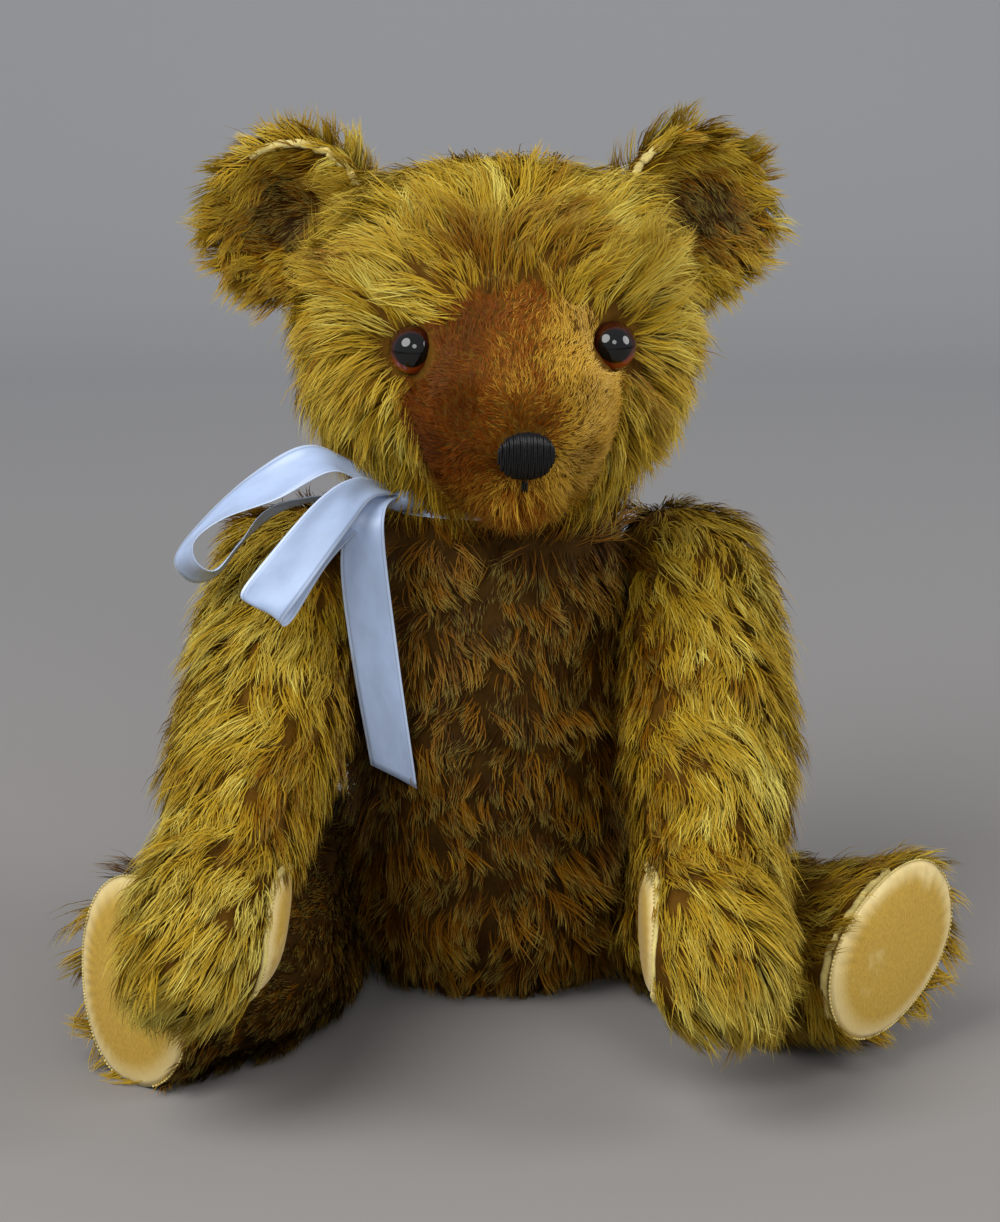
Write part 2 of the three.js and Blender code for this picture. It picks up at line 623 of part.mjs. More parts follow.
// The turn round the neck lies on the top of the torso, under the head.
function collar() {
  const { rise, drop, top, bottom, back } = COLLAR;
  const sides = 16;
  const ringAt = ([a, b], z, grow) => Array.from({ length: sides }, (_, i) => {
    const angle = (i / sides) * 2 * Math.PI;
    return vec((a + grow) * Math.cos(angle), back + (b + grow) * Math.sin(angle), z);
  });
  const outer = skinThrough([ringAt(bottom, drop, RIBBON_THICK), ringAt(top, rise, RIBBON_THICK)]);
  const steepness = (bottom[0] - top[0]) / (rise - drop);
  const beyond = (ends, z, sign) => [ends.map((r) => r + sign * steepness), z - sign];
  const inner = skinThrough([
    ringAt(...beyond(bottom, drop, 1), 0), ringAt(...beyond(top, rise, -1), 0),
  ]);
  return toSolid(outer).subtract(toSolid(inner));
}

function buildRibbon() {
  const knot = ball(vec(...KNOT.at), 1, 8, 6, vec(...KNOT.radii));
  const skin = torsoSkin();
  const ribbon = [band(UPPER_LOOP, 18), band(LOWER_LOOP, 14), band(TAIL, 7), knot]
    .reduce((whole, stretch) => whole.add(stretch), collar())
    .subtract(toSolid(shrunk(skin, -GAP)));
  add('neck_ribbon', largest(ribbon), COLOURS.satin, 0.35);
}

buildTorso();
buildLimbs();
buildHead();
buildRibbon();
addJointPieces('neck', 'head', 'torso_neck');
addJointPieces('right_shoulder', 'right_arm', 'torso_right_arm');
addJointPieces('left_shoulder', 'left_arm', 'torso_left_arm');
addJointPieces('right_hip', 'right_leg', 'torso_right_leg');
addJointPieces('left_hip', 'left_leg', 'torso_left_leg');

export default bear;
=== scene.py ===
import json
import math

import bmesh
import bpy
import numpy as np
from bpy.props import FloatProperty, FloatVectorProperty, IntProperty, PointerProperty
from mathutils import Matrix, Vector


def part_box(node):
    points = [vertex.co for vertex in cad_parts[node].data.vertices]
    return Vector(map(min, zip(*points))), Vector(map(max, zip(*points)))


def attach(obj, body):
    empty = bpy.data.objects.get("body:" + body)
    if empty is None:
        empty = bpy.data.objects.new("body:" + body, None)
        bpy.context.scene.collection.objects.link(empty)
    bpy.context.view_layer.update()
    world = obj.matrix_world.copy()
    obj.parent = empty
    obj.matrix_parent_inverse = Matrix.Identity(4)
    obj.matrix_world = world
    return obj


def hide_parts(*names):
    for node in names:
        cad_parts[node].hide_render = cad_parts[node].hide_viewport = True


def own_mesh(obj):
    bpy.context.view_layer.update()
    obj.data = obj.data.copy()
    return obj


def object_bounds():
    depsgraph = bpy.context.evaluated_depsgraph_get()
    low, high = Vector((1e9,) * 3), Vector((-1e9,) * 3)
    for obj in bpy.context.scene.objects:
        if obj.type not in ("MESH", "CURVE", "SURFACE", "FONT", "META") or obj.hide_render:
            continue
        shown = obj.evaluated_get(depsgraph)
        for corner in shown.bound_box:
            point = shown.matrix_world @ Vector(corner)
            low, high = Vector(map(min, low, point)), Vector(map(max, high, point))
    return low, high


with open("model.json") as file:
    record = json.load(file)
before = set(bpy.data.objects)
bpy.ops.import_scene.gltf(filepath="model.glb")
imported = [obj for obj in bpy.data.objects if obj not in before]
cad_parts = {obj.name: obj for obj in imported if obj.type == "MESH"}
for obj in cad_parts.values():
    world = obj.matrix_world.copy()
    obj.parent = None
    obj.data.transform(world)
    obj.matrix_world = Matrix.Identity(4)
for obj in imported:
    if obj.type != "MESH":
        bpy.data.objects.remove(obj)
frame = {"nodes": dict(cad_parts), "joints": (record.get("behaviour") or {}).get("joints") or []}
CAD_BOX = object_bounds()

bl_info = {
    "name": "Jointed mohair bear",
    "version": (1, 0, 0),
    "blender": (4, 5, 0),
    "location": "View3D > Sidebar > Bear",
    "description": "Builds the fur, velvet, satin, glass and stitching of a jointed mohair bear",
    "category": "Object",
}

MM = 0.001
HEAD_TURN = math.radians(6.5)  # the head looks a little to the bear's left
HEAD_CENTRE = np.array((2.0, -6.0, 313.0))  # millimetres, as are all the fur's own sums
NECK = np.array((2.0, 0.0, 247.0))
PATCH_DIP = math.radians(10.5)
PATCH_EDGE = 32.5  # degrees from the patch's middle to the clipped cloth's seam
EYE_CLEARANCE = 11.2  # strands keep this far from the middle of an eye
JOINT_PATCH, JOINT_GAP = 34, 2.5  # no pile grows this near a joint, this close to the facing cloth
STRAYS = 0.07  # share of strands that leave their lock
NOSE_CORNERS = 2.3  # 2 is an oval nose, and more is squarer

# Each limb's middle line, from its joint to its end.
SPINES = {
    "right_arm": [(-88, 31, 205), (-89, -2, 189), (-98, -68, 149), (-109, -132, 112), (-118, -178, 86),
                  (-122, -212, 67)],
    "left_arm": [(88, 31, 205), (89, -2, 189), (94, -67, 145), (93, -127, 105), (92, -171, 79),
                 (92, -205, 58)],
    "right_leg": [(-78, 46, 44), (-82, 10, 45), (-98, -65, 37), (-135, -117, 41), (-180, -159, 47)],
    "left_leg": [(78, 46, 44), (82, 10, 45), (112, -53, 39), (157, -95, 46), (206, -136, 55)],
}
PAW_CENTRES = {"right_arm": (-118, -178, 86), "left_arm": (92, -171, 79)}
PAD_SIZE = (29, 22)  # half length along the paw and half width
PAD_BACK = 6
PAD_UNDER = {"right_arm": 9, "left_arm": 2}  # how far round the underside of the paw


# ---------------------------------------------------------------- settings
def colour(name, description, default):
    return FloatVectorProperty(
        name=name, description=description, default=default, subtype="COLOR", min=0, max=1, size=3
    )


def length(name, description, millimetres):
    return FloatProperty(
        name=name, description=description, default=millimetres * MM, subtype="DISTANCE", unit="LENGTH"
    )


def srgb(red, green, blue):
    """A colour on a 0 to 255 screen scale, as linear light."""
    return tuple(
        (c / 12.92 if c <= 0.04045 else ((c + 0.055) / 1.055) ** 2.4)
        for c in (red / 255, green / 255, blue / 255)
    )


class BearFur(bpy.types.PropertyGroup):
    strand_width: length("Strand width", "Width of one strand at its root", 0.47)
    head_length: length("Head pile", "Length of the pile on the head and ears", 22)
    arm_length: length("Arm pile", "Length of the pile on the arms", 22)
    torso_length: length("Torso pile", "Length of the worn pile on the torso", 15)
    leg_length: length("Leg pile", "Length of the pile on the legs", 19)
    muzzle_length: length("Muzzle pile", "Length of the clipped pile on the muzzle", 6)
    head_strands: IntProperty(name="Head strands", description="Strands on the head", default=36500)
    ear_strands: IntProperty(name="Ear strands", description="Strands on each ear", default=8000)
    muzzle_strands: IntProperty(name="Muzzle strands", description="Strands on the muzzle", default=18000)
    torso_strands: IntProperty(name="Torso strands", description="Strands on the torso", default=25500)
    arm_strands: IntProperty(name="Arm strands", description="Strands on each arm", default=22000)
    leg_strands: IntProperty(name="Leg strands", description="Strands on each leg", default=19000)
    # Painted shade deep in the pile: every strand darkens towards this colour at its root.
    root: colour("Root", "Colour at the foot of the pile", srgb(60, 38, 3))
    # The darkest pile, on the torso and on the right leg's inner side, where it is partly painted shade.
    dark: colour("Dark pile", "Darkest, dirtiest pile", srgb(48, 22, 2))
    brown: colour("Brown pile", "Brown pile", srgb(124, 78, 5))
    gold: colour("Golden pile", "Golden pile", srgb(180, 146, 36))
    pale: colour("Pale pile", "Sun-bleached pile", srgb(222, 206, 102))
    rust: colour("Rust pile", "Clipped pile at the top of the muzzle", srgb(128, 60, 2))
    amber: colour("Amber pile", "Clipped pile round the nose", srgb(204, 158, 50))


class BearCloth(bpy.types.PropertyGroup):
    voxel: length("Skin detail", "Detail of the sewn skins under the pile", 4.4)
    velvet: colour("Velvet", "Palms and soles", srgb(188, 152, 62))
    # The velvet's pale rim: rubbed wear and painted sheen.
    velvet_rim_wear_and_sheen: colour("Velvet edge", "Rubbed rim of the velvet", srgb(222, 200, 140))
    bare: colour("Bare cloth", "Backing cloth where the pile has gone", srgb(228, 208, 128))
    thread: colour("Thread", "Nose stitching", srgb(9, 9, 10))


class BearRibbon(bpy.types.PropertyGroup):
    width: length("Ribbon width", "Width of the satin ribbon", 22)
    thickness: length("Ribbon thickness", "Thickness of the satin", 0.35)
    satin: colour("Satin", "The satin's colour", srgb(170, 190, 224))
    selvedge: colour("Selvedge", "The woven edges", srgb(190, 206, 232))


class BearEyes(bpy.types.PropertyGroup):
    radius: length("Eye radius", "Radius of a glass eye", 10.8)
    pupil: FloatProperty(name="Pupil", description="Half angle of the pupil", subtype="ANGLE",
                         default=math.radians(42))
    # Painted light brightens the bottom of the iris, and painted shade darkens its top.
    amber: colour("Iris", "Glow at the bottom of the iris", srgb(150, 58, 12))
    rim: colour("Iris shade", "Top of the iris", srgb(46, 12, 6))


class BearStage(bpy.types.PropertyGroup):
    distance: length("Camera distance", "From the bear's middle to the camera", 1500)
    elevation: FloatProperty(name="Camera elevation", description="Above the horizon", subtype="ANGLE",
                             default=math.radians(15))
    # Painted light: the floor colour is darker than the backdrop colour, and the sweep runs between them
    # with distance.
    floor: colour("Floor", "Plain pale floor", srgb(134, 130, 127))
    backdrop: colour("Backdrop", "Plain pale backdrop", srgb(176, 176, 178))


# ---------------------------------------------------------------- small tools
def deselect():
    for item in bpy.context.selected_objects:
        item.select_set(False)
    bpy.context.view_layer.objects.active = None


def pick(piece):
    deselect()
    piece.select_set(True)
    bpy.context.view_layer.objects.active = piece


def finish_piece(piece, body, material):
    """Puts a finished piece's place into its mesh, and gives it its material and its body."""
    pick(piece)
    bpy.ops.object.transform_apply(location=True, rotation=True, scale=True)
    piece.data.materials.clear()
    piece.data.materials.append(material)
    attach(piece, body)
    deselect()
    return piece


def apply_modifier(piece, kind, **values):
    pick(piece)
    modifier = piece.modifiers.new(kind.title(), kind)
    for key, value in values.items():
        setattr(modifier, key, value)
    bpy.ops.object.modifier_apply(modifier=modifier.name)
    deselect()


def mesh_piece(name, points, faces, smooth=True):
    mesh = bpy.data.meshes.new(name)
    mesh.from_pydata([tuple(p) for p in points], [], faces)
    mesh.validate()
    piece = bpy.data.objects.new(name, mesh)
    bpy.context.scene.collection.objects.link(piece)
    if smooth:
        mesh.shade_smooth()
    return piece


def face_outward(piece):
    pick(piece)
    bpy.ops.object.mode_set(mode="EDIT")
    bpy.ops.mesh.select_all(action="SELECT")
    bpy.ops.mesh.normals_make_consistent(inside=False)
    bpy.ops.object.mode_set(mode="OBJECT")
    deselect()


def stuffed_skin(name, nodes, voxel, rounds=8):
    """One smooth closed skin over the named CAD nodes, such as a cover with its stuffing in it."""
    copies = []
    for node in nodes:
        copy = bpy.data.objects.new(name, frame["nodes"][node].data.copy())
        bpy.context.scene.collection.objects.link(copy)
        copies.append(copy)
    deselect()
    for copy in copies:
        copy.select_set(True)
    bpy.context.view_layer.objects.active = copies[0]
    bpy.ops.object.join()
    skin = bpy.context.view_layer.objects.active
    skin.name = name
    bpy.ops.object.mode_set(mode="EDIT")
    bpy.ops.mesh.select_all(action="SELECT")
    bpy.ops.mesh.remove_doubles(threshold=1e-5)
    bpy.ops.object.mode_set(mode="OBJECT")
    skin.data.remesh_voxel_size = voxel
    bpy.ops.object.voxel_remesh()
    keep_outer(skin)
    apply_modifier(skin, "SMOOTH", factor=0.5, iterations=rounds)
    skin.data.shade_smooth()
    return skin


def keep_outer(piece):
    """Drops the walls of any hollow inside a skin, and keeps the outside."""
    shape = bmesh.new()
    shape.from_mesh(piece.data)
    left = set(shape.verts)
    islands = []
    while left:
        first = left.pop()
        island = {first}
        edge = [first]
        while edge:
            for link in edge.pop().link_edges:
                for vert in link.verts:
                    if vert in left:
                        left.discard(vert)
                        island.add(vert)
                        edge.append(vert)
        islands.append(island)
    islands.sort(key=lambda island: max(v.co.x for v in island) - min(v.co.x for v in island))
    for island in islands[:-1]:
        bmesh.ops.delete(shape, geom=list(island), context="VERTS")
    shape.to_mesh(piece.data)
    shape.free()


# ---------------------------------------------------------------- vectors by the thousand, in millimetres
def unit(v):
    return v / np.maximum(np.linalg.norm(v, axis=-1, keepdims=True), 1e-9)


def dot(a, b):
    return (a * b).sum(-1)


def ramp(value, low, high):
    t = np.clip((value - low) / (high - low), 0, 1)
    return t * t * (3 - 2 * t)


def drift(places, size, seed):
    """A smooth value from about -1 to 1 that changes over size millimetres."""
    rng = np.random.default_rng(seed)
    waves = unit(rng.normal(size=(7, 3))) * (2 * math.pi / size) * rng.uniform(0.5, 1.3, (7, 1))
    return np.clip(np.sin(places @ waves.T + rng.uniform(0, 2 * math.pi, 7)).mean(1) * 2.2, -1, 1)


def along_surface(direction, normal):
    return unit(direction - dot(direction, normal)[:, None] * normal)


def rotated(v, axis, angle):
    c, s = np.cos(angle)[:, None], np.sin(angle)[:, None]
    return v * c + np.cross(axis, v) * s + axis * dot(axis, v)[:, None] * (1 - c)


def head_direction(dip, turn=HEAD_TURN):
    return np.array(
        (math.sin(turn) * math.cos(dip), -math.cos(turn) * math.cos(dip), -math.sin(dip))
    )


def coordinates(skin):
    mesh = skin.data
    places = np.empty(len(mesh.vertices) * 3, np.float32)
    mesh.vertices.foreach_get("co", places)
    normals = np.empty(len(mesh.vertices) * 3, np.float32)
    mesh.vertices.foreach_get("normal", normals)
    return places.reshape(-1, 3) * 1000.0, normals.reshape(-1, 3).astype(float)


def scatter(skin, count, rng, density):
    """count places on a skin, with its normals there, spread evenly and thinned where density says."""
    places, normals = coordinates(skin)
    mesh = skin.data
    mesh.calc_loop_triangles()
    corners = np.empty(len(mesh.loop_triangles) * 3, np.int32)
    mesh.loop_triangles.foreach_get("vertices", corners)
    corners = corners.reshape(-1, 3)
    a, b, c = (places[corners[:, k]] for k in range(3))
    area = np.linalg.norm(np.cross(b - a, c - a), axis=1) / 2
    middle = (a + b + c) / 3
    share = area * density(middle, unit(normals[corners].sum(1)))
    heap = np.cumsum(share)
    at = (np.arange(count) + rng.random(count)) / count * heap[-1]
    face = np.minimum(np.searchsorted(heap, at), len(heap) - 1)
    u, v = rng.random(count), rng.random(count)
    over = u + v > 1
    u[over], v[over] = 1 - u[over], 1 - v[over]
    w = np.stack([1 - u - v, u, v], 1)[:, :, None]
    chosen = corners[face]
    return (places[chosen] * w).sum(1), unit((normals[chosen] * w).sum(1))


# ---------------------------------------------------------------- pile
def grow_pile(name, skin, count, rule, seed, width, segments=3):
    """A piece of mohair pile on a skin: curved, tapering strands drawn together into locks.

    rule(places, normals, rng) gives, for each lock, its comb direction, length, lift in degrees,
    tone from 0 (dark) to 1 (pale), spread in millimetres and gather from 0 to 1. rule.density gives
    how thickly it grows, rule.per_lock how many strands a lock has, and rule.clear which may stay."""
    rng = np.random.default_rng(seed)
    locks = count // rule.per_lock
    centre, normal = scatter(skin, locks, rng, rule.density)
    look = rule(centre, normal, rng)
    comb = along_surface(look["comb"], normal)
    comb = rotated(comb, normal, np.radians(rng.normal(0, look["ruffle"], locks)))
    lift = np.radians(look["lift"] + rng.normal(0, 6, locks))
    long = look["length"] * rng.uniform(0.8, 1.14, locks)
    tone = look["tone"] + rng.normal(0, look["patch"], locks)
    bend = 0.85 * drift(centre, 31, seed + 7) + rng.normal(0, 0.3, locks)
    side = np.cross(normal, comb)

    def path(root, comb, normal, lift, long, bend, side):
        points = [root]
        for step in range(segments):
            s = (step + 0.5) / segments
            rise = lift * (1.1 - 0.85 * s)
            heading = comb * np.cos(rise)[:, None] + normal * np.sin(rise)[:, None]
            heading = heading + side * (bend * (s - 0.35))[:, None]
            heading[:, 2] -= look["sag"] * s
            points.append(points[-1] + unit(heading) * (long / segments)[:, None])
        return np.stack(points, 1)

    spine = path(centre - normal * 0.5, comb, normal, lift, long, bend, side)
    of = np.repeat(np.arange(locks), rule.per_lock)
    total = len(of)
    spread = look["spread"][of] * np.sqrt(rng.random(total))
    turn = rng.uniform(0, 2 * math.pi, total)
    offset = (comb[of] * np.cos(turn)[:, None] * 1.5 + side[of] * np.sin(turn)[:, None]) * spread[:, None]
    root = centre[of] + offset - normal[of] * 0.5
    stray = rng.random(total) < STRAYS
    sway = rng.normal(0, 8, total) + 22 * stray * (turn / 3 - 1)
    own_comb = rotated(comb[of], normal[of], np.radians(sway))
    strand = path(
        root, own_comb, normal[of], lift[of] + np.radians(rng.normal(0, 5, total) + 16 * stray),
        long[of] * rng.uniform(0.7, 1.1, total), bend[of] + rng.normal(0, 0.22, total), side[of],
    )
    s = np.linspace(0, 1, segments + 1)[None, :, None]
    gather = look["gather"][of] * rng.uniform(0.45, 1.0, total) * ~stray
    strand = strand + (spine[of] - strand) * gather[:, None, None] * s ** 1.2
    strand = strand + rng.normal(0, 0.25, strand.shape) * s
    strand[:, :, 2] = np.maximum(strand[:, :, 2], 0.4 + 0.8 * rng.random((total, 1)))
    keep = within_size(strand) & rule.clear(strand)
    strand, of = strand[keep], of[keep]
    total = len(of)
    heading = unit(strand[:, -1] - strand[:, 0])
    flat = unit(np.cross(normal[of], heading))
    roll = rng.uniform(-0.8, 0.8, total)
    across = flat * np.cos(roll)[:, None] + np.cross(heading, flat) * np.sin(roll)[:, None]
    half = width * 1000 / 2 * rng.uniform(0.75, 1.2, total)
    shade = np.clip(tone[of] + rng.normal(0, 0.075, total), 0.02, 0.98)
    return ribbons_of(name, strand, across, half, shade, normal[of], segments)


def within_size(strand):
    """Keeps only strands that stay close to the frame's own box."""
    low, high = np.array(CAD_BOX[0]) / MM, np.array(CAD_BOX[1]) / MM
    proud = 9 + 0.024 * (high - low)
    return ((strand > low - proud - (0, 0, 1)) & (strand < high + proud)).all((1, 2))


def ribbons_of(name, strand, across, half, shade, normal, segments):
    """Turns paths into one mesh of flat tapering strands. Its map holds a strand's tone across and
    the way up it, and its normals lean towards the skin's, as soft pile's do."""
    total = len(strand)
    taper = [1.0, 1.05, 0.8, 0.5][:segments] if segments > 2 else [1.0, 0.8]
    rows = []
    for step in range(segments):
        reach = across * (half * taper[step])[:, None]
        rows += [strand[:, step] - reach, strand[:, step] + reach]
    rows.append(strand[:, segments])
    per = 2 * segments + 1
    places = np.stack(rows, 1).reshape(-1, 3) * MM
    base = (np.arange(total) * per)[:, None]
    quads = np.concatenate(
        [base + np.array([2 * k + 1, 2 * k, 2 * k + 2, 2 * k + 3]) for k in range(segments - 1)], 1
    )
    tips = base + np.array([2 * segments - 1, 2 * segments - 2, 2 * segments])
    corners = np.concatenate([quads, tips], 1)
    facings = corners.ravel()
    sizes = np.tile([4] * (segments - 1) + [3], total)
    mesh = bpy.data.meshes.new(name)
    mesh.vertices.add(len(places))
    mesh.vertices.foreach_set("co", places.astype(np.float32).ravel())
    mesh.loops.add(len(facings))
    mesh.loops.foreach_set("vertex_index", facings.astype(np.int32))
    mesh.polygons.add(len(sizes))
    starts = np.concatenate([[0], np.cumsum(sizes)[:-1]])
    mesh.polygons.foreach_set("loop_start", starts.astype(np.int32))
    mesh.polygons.foreach_set("loop_total", sizes.astype(np.int32))
    mesh.update(calc_edges=True)
    ups = np.repeat(np.arange(segments) / segments, 2).tolist() + [1.0]
    lefts = [-1, 1] * segments + [0]
    u = shade[:, None] + 0.004 * np.array(lefts)
    v = np.broadcast_to(0.01 + 0.98 * np.array(ups), u.shape)
    chart = np.stack([u.ravel(), v.ravel()], 1)[facings]
    layer = mesh.uv_layers.new(name="OFBake")
    layer.uv.foreach_set("vector", chart.astype(np.float32).ravel())
    mesh.polygons.foreach_set("use_smooth", np.ones(len(sizes), bool))
    outward = np.repeat(normal, per, 0)
    heading = np.repeat(unit(strand[:, -1] - strand[:, 0]), per, 0)
    soft = unit(outward - 0.95 * dot(outward, heading)[:, None] * heading)
    mesh.normals_split_custom_set_from_vertices(soft.astype(np.float32))
    piece = bpy.data.objects.new(name, mesh)
    bpy.context.scene.collection.objects.link(piece)
    return piece


# ---------------------------------------------------------------- where the pile grows and how it lies
def middle_of(node):
    low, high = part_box(node)
    return np.array((low + high) / 2) / MM


def eye_middles():
    return [middle_of("right_eye"), middle_of("left_eye")]


def turned_head(point):
    c, s = math.cos(HEAD_TURN), math.sin(HEAD_TURN)
    x, y = point[0] - NECK[0], point[1]
    return np.array((NECK[0] + c * x - s * y, s * x + c * y, point[2]))


def patch_angle(places):
    """Degrees from the middle of the clipped muzzle cloth, seen from the middle of the head."""
    return np.degrees(np.arccos(np.clip(
        dot(unit(places - turned_head(HEAD_CENTRE)), head_direction(PATCH_DIP)), -1, 1
    )))


def patch_edge(places):
    """Where the clipped cloth meets the long pile, which overlaps it unevenly."""
    return PATCH_EDGE + 2.2 * drift(places, 17, 15)


def clear_of_eyes(strand):
    """Keeps only strands that don't cross the front of an eye."""
    keep = np.ones(len(strand), bool)
    for eye in eye_middles():
        for k in range(1, strand.shape[1]):
            for share in (0.5, 1.0):
                offset = strand[:, k - 1] * (1 - share) + strand[:, k] * share - eye
                keep &= (np.linalg.norm(offset * (1, 0.55, 1), axis=1) > EYE_CLEARANCE) | (offset[:, 1] > 4)
    return keep


def eye_distance(places):
    return np.min([np.linalg.norm(places - eye, axis=1) for eye in eye_middles()], 0)


def joint_of(name):
    joint = next(j for j in frame["joints"] if j["name"] == name)
    return np.array(joint["pos_m"]) / MM, unit(np.array(joint["axis"], float))


def at_joint(places, name):
    """Where a limb lies flat against the torso, so that no pile grows."""
    origin, axis = joint_of(name)
    offset = places - origin
    return (np.linalg.norm(offset, axis=1) < JOINT_PATCH) & (np.abs(dot(offset, axis)) < JOINT_GAP)


def look(places, **values):
    """Fills in one value for each lock wherever a plain number was given."""
    count = len(places)
    plain = {"sag": values.pop("sag")}
    for key, value in values.items():
        plain[key] = value if np.ndim(value) else np.full(count, float(value))
    return plain


class Pile:
    """What every rule for pile shares."""
    per_lock = 20

    def clear(self, strand):
        return np.ones(len(strand), bool)


class HeadPile(Pile):
    """Long pile that runs away from the muzzle, browner over the brow and falling on the cheeks."""

    def __init__(self, length):
        self.length = length

    def density(self, places, normals):
        free = (patch_angle(places) > patch_edge(places) - 1) & (places[:, 2] > 249)
        return np.where(free & (eye_distance(places) > 12.0), 1.0, 0.0)

    def clear(self, strand):
        return clear_of_eyes(strand)

    def __call__(self, places, normals, rng):
        out = unit(places - turned_head(HEAD_CENTRE))
        axis = head_direction(PATCH_DIP)
        away = unit(out - dot(out, axis)[:, None] * axis)
        down = ramp(-places[:, 2], -345, -272)
        comb = away + np.outer(down * 1.15 + ramp(places[:, 1], 0, 45) * 1.6, (0, 0, -1.0))
        eyes = np.array(eye_middles())
        nearest = eyes[np.argmin([np.linalg.norm(places - eye, axis=1) for eye in eyes], 0)]
        near = 1 - ramp(eye_distance(places), 11, 24)
        comb = comb + unit(places - nearest) * (near * 0.8)[:, None]
        comb = rotated(unit(comb), normals, 0.55 * drift(places, 34, 11))
        angle = patch_angle(places)
        brow = (1 - ramp(np.abs(places[:, 0] - 6), 18, 44)) * ramp(places[:, 2], 330, 345)
        brow = brow * (1 - ramp(places[:, 2], 350, 378)) * (places[:, 1] < 0)
        crown = ramp(places[:, 2], 352, 378)
        short = (0.5 + 0.5 * ramp(angle, 32, 46)) * (1 + 0.2 * crown + 0.2 * ramp(-places[:, 2], -290, -262))
        short = short * (1 - 0.3 * near) * (1 + 0.6 * ramp(-places[:, 2], -270, -252))
        tone = 0.6 - 0.2 * brow + 0.11 * drift(places, 46, 12) + 0.06 * drift(places, 15, 13)
        tone = tone - 0.10 * (1 - ramp(angle, 32, 38)) - 0.08 * ramp(-places[:, 2], -275, -255)
        chin = ramp(-places[:, 2], -266, -252)
        far = ramp(places[:, 1], -10, 20) * crown
        aside = np.abs(places[:, 0] - 2)
        cheek = ramp(aside, 40, 64) * (1 - ramp(places[:, 2], 345, 365))
        corner = ramp(aside, 28, 46) * crown
        short = short * (1 + 0.3 * cheek + 0.45 * corner - 0.4 * far)
        return look(places, comb=comb, length=self.length * short,
                    lift=34 + 8 * crown - 16 * far + 20 * chin + 13 * cheek + 10 * corner,
                    tone=tone, ruffle=8, patch=0.08, spread=4.0, gather=0.5, sag=0.3)


class EarPile(Pile):
    """Shaggy pile on both sides of an ear, with painted shade over its front and in its hollow, and bare
    cloth left along the upper rim seam.
    """

    def __init__(self, length, centre, side, seam):
        self.length, self.centre, self.side, self.seam = length, centre, side, seam

    def density(self, places, normals):
        gap = np.min([np.linalg.norm(places - point, axis=1) for point in self.seam], 0)
        in_head = np.linalg.norm((places - turned_head(HEAD_CENTRE)) / (78, 70, 68), axis=1) < 1.0
        return np.where((gap > 3.0) & ~in_head, 1.0, 0.0)

    def clear(self, strand):
        """Keeps the bare seam in sight: no strand lies across it from the front."""
        keep = np.ones(len(strand), bool)
        for point in self.seam:
            offset = (strand[:, 1:] - point) * (1, 0.35, 1)
            keep &= (np.linalg.norm(offset, axis=2).min(1) > 2.4) | (strand[:, -1, 1] > point[1] + 3)
        return keep

    def __call__(self, places, normals, rng):
        root = self.centre + np.array((-self.side * 24.0, 0, -14.0))
        comb = unit(places - root) + np.array((0, 0, -0.35))
        front = ramp(-normals[:, 1], -0.1, 0.5)
        comb = comb + np.outer(front, (self.side * 0.3, 0, -0.55))
        comb = rotated(unit(comb), normals, 0.6 * drift(places, 22, 21))
        # Painted shade: darker over the ear's front, much darker in the middle of its hollow.
        deep = 1 - ramp(np.linalg.norm((places - self.centre)[:, [0, 2]], axis=1), 10, 27)
        tone = 0.6 + 0.1 * drift(places, 26, 22) - 0.08 * front - 0.5 * front * deep
        return look(places, comb=comb, length=self.length * (0.92 - 0.28 * front), lift=31 + 4 * front,
                    tone=tone, ruffle=12, patch=0.08, spread=3.6, gather=0.55, sag=0.35)


class MuzzlePile(Pile):
    """Clipped pile that runs back from the nose, rust on one side and amber on the other."""
    per_lock = 5

    def __init__(self, length, nose):
        self.length, self.nose = length, nose

    def density(self, places, normals):
        free = (patch_angle(places) < patch_edge(places) + 0.8) & (eye_distance(places) > 11.6)
        nose = np.linalg.norm((places - self.nose) / (1.0, 1.6, 1.0), axis=1) > 11.0
        return np.where(free & nose & (places[:, 2] > 249), 1.0, 0.0)

    def clear(self, strand):
        return clear_of_eyes(strand)

    def __call__(self, places, normals, rng):
        comb = rotated(along_surface(unit(places - self.nose), normals), normals,
                       0.8 * drift(places, 26, 31))
        across = places[:, 0] - self.nose[0]
        low = ramp(-places[:, 2], -284, -256)
        comb = comb + np.outer(1 - 1.6 * low, (0, 0, 0.2))
        tone = 0.3 + 0.46 * ramp(across, -2, 30) + 0.1 * low + 0.1 * drift(places, 30, 32)
        tone = tone + 0.04 * drift(places, 9, 33) - 0.24 * ramp(-across, 6, 38) * (1 - 0.5 * low)
        grow = 0.8 + 0.4 * ramp(np.abs(across), 18, 45) + 2.0 * low * ramp(-places[:, 2], -266, -252)
        chin = ramp(-places[:, 2], -264, -251)
        grow = grow + 0.9 * chin
        return look(places, comb=comb, length=self.length * grow, lift=34 + 34 * chin, tone=tone, ruffle=14,
                    patch=0.06, spread=1.7, gather=0.4, sag=0.08)


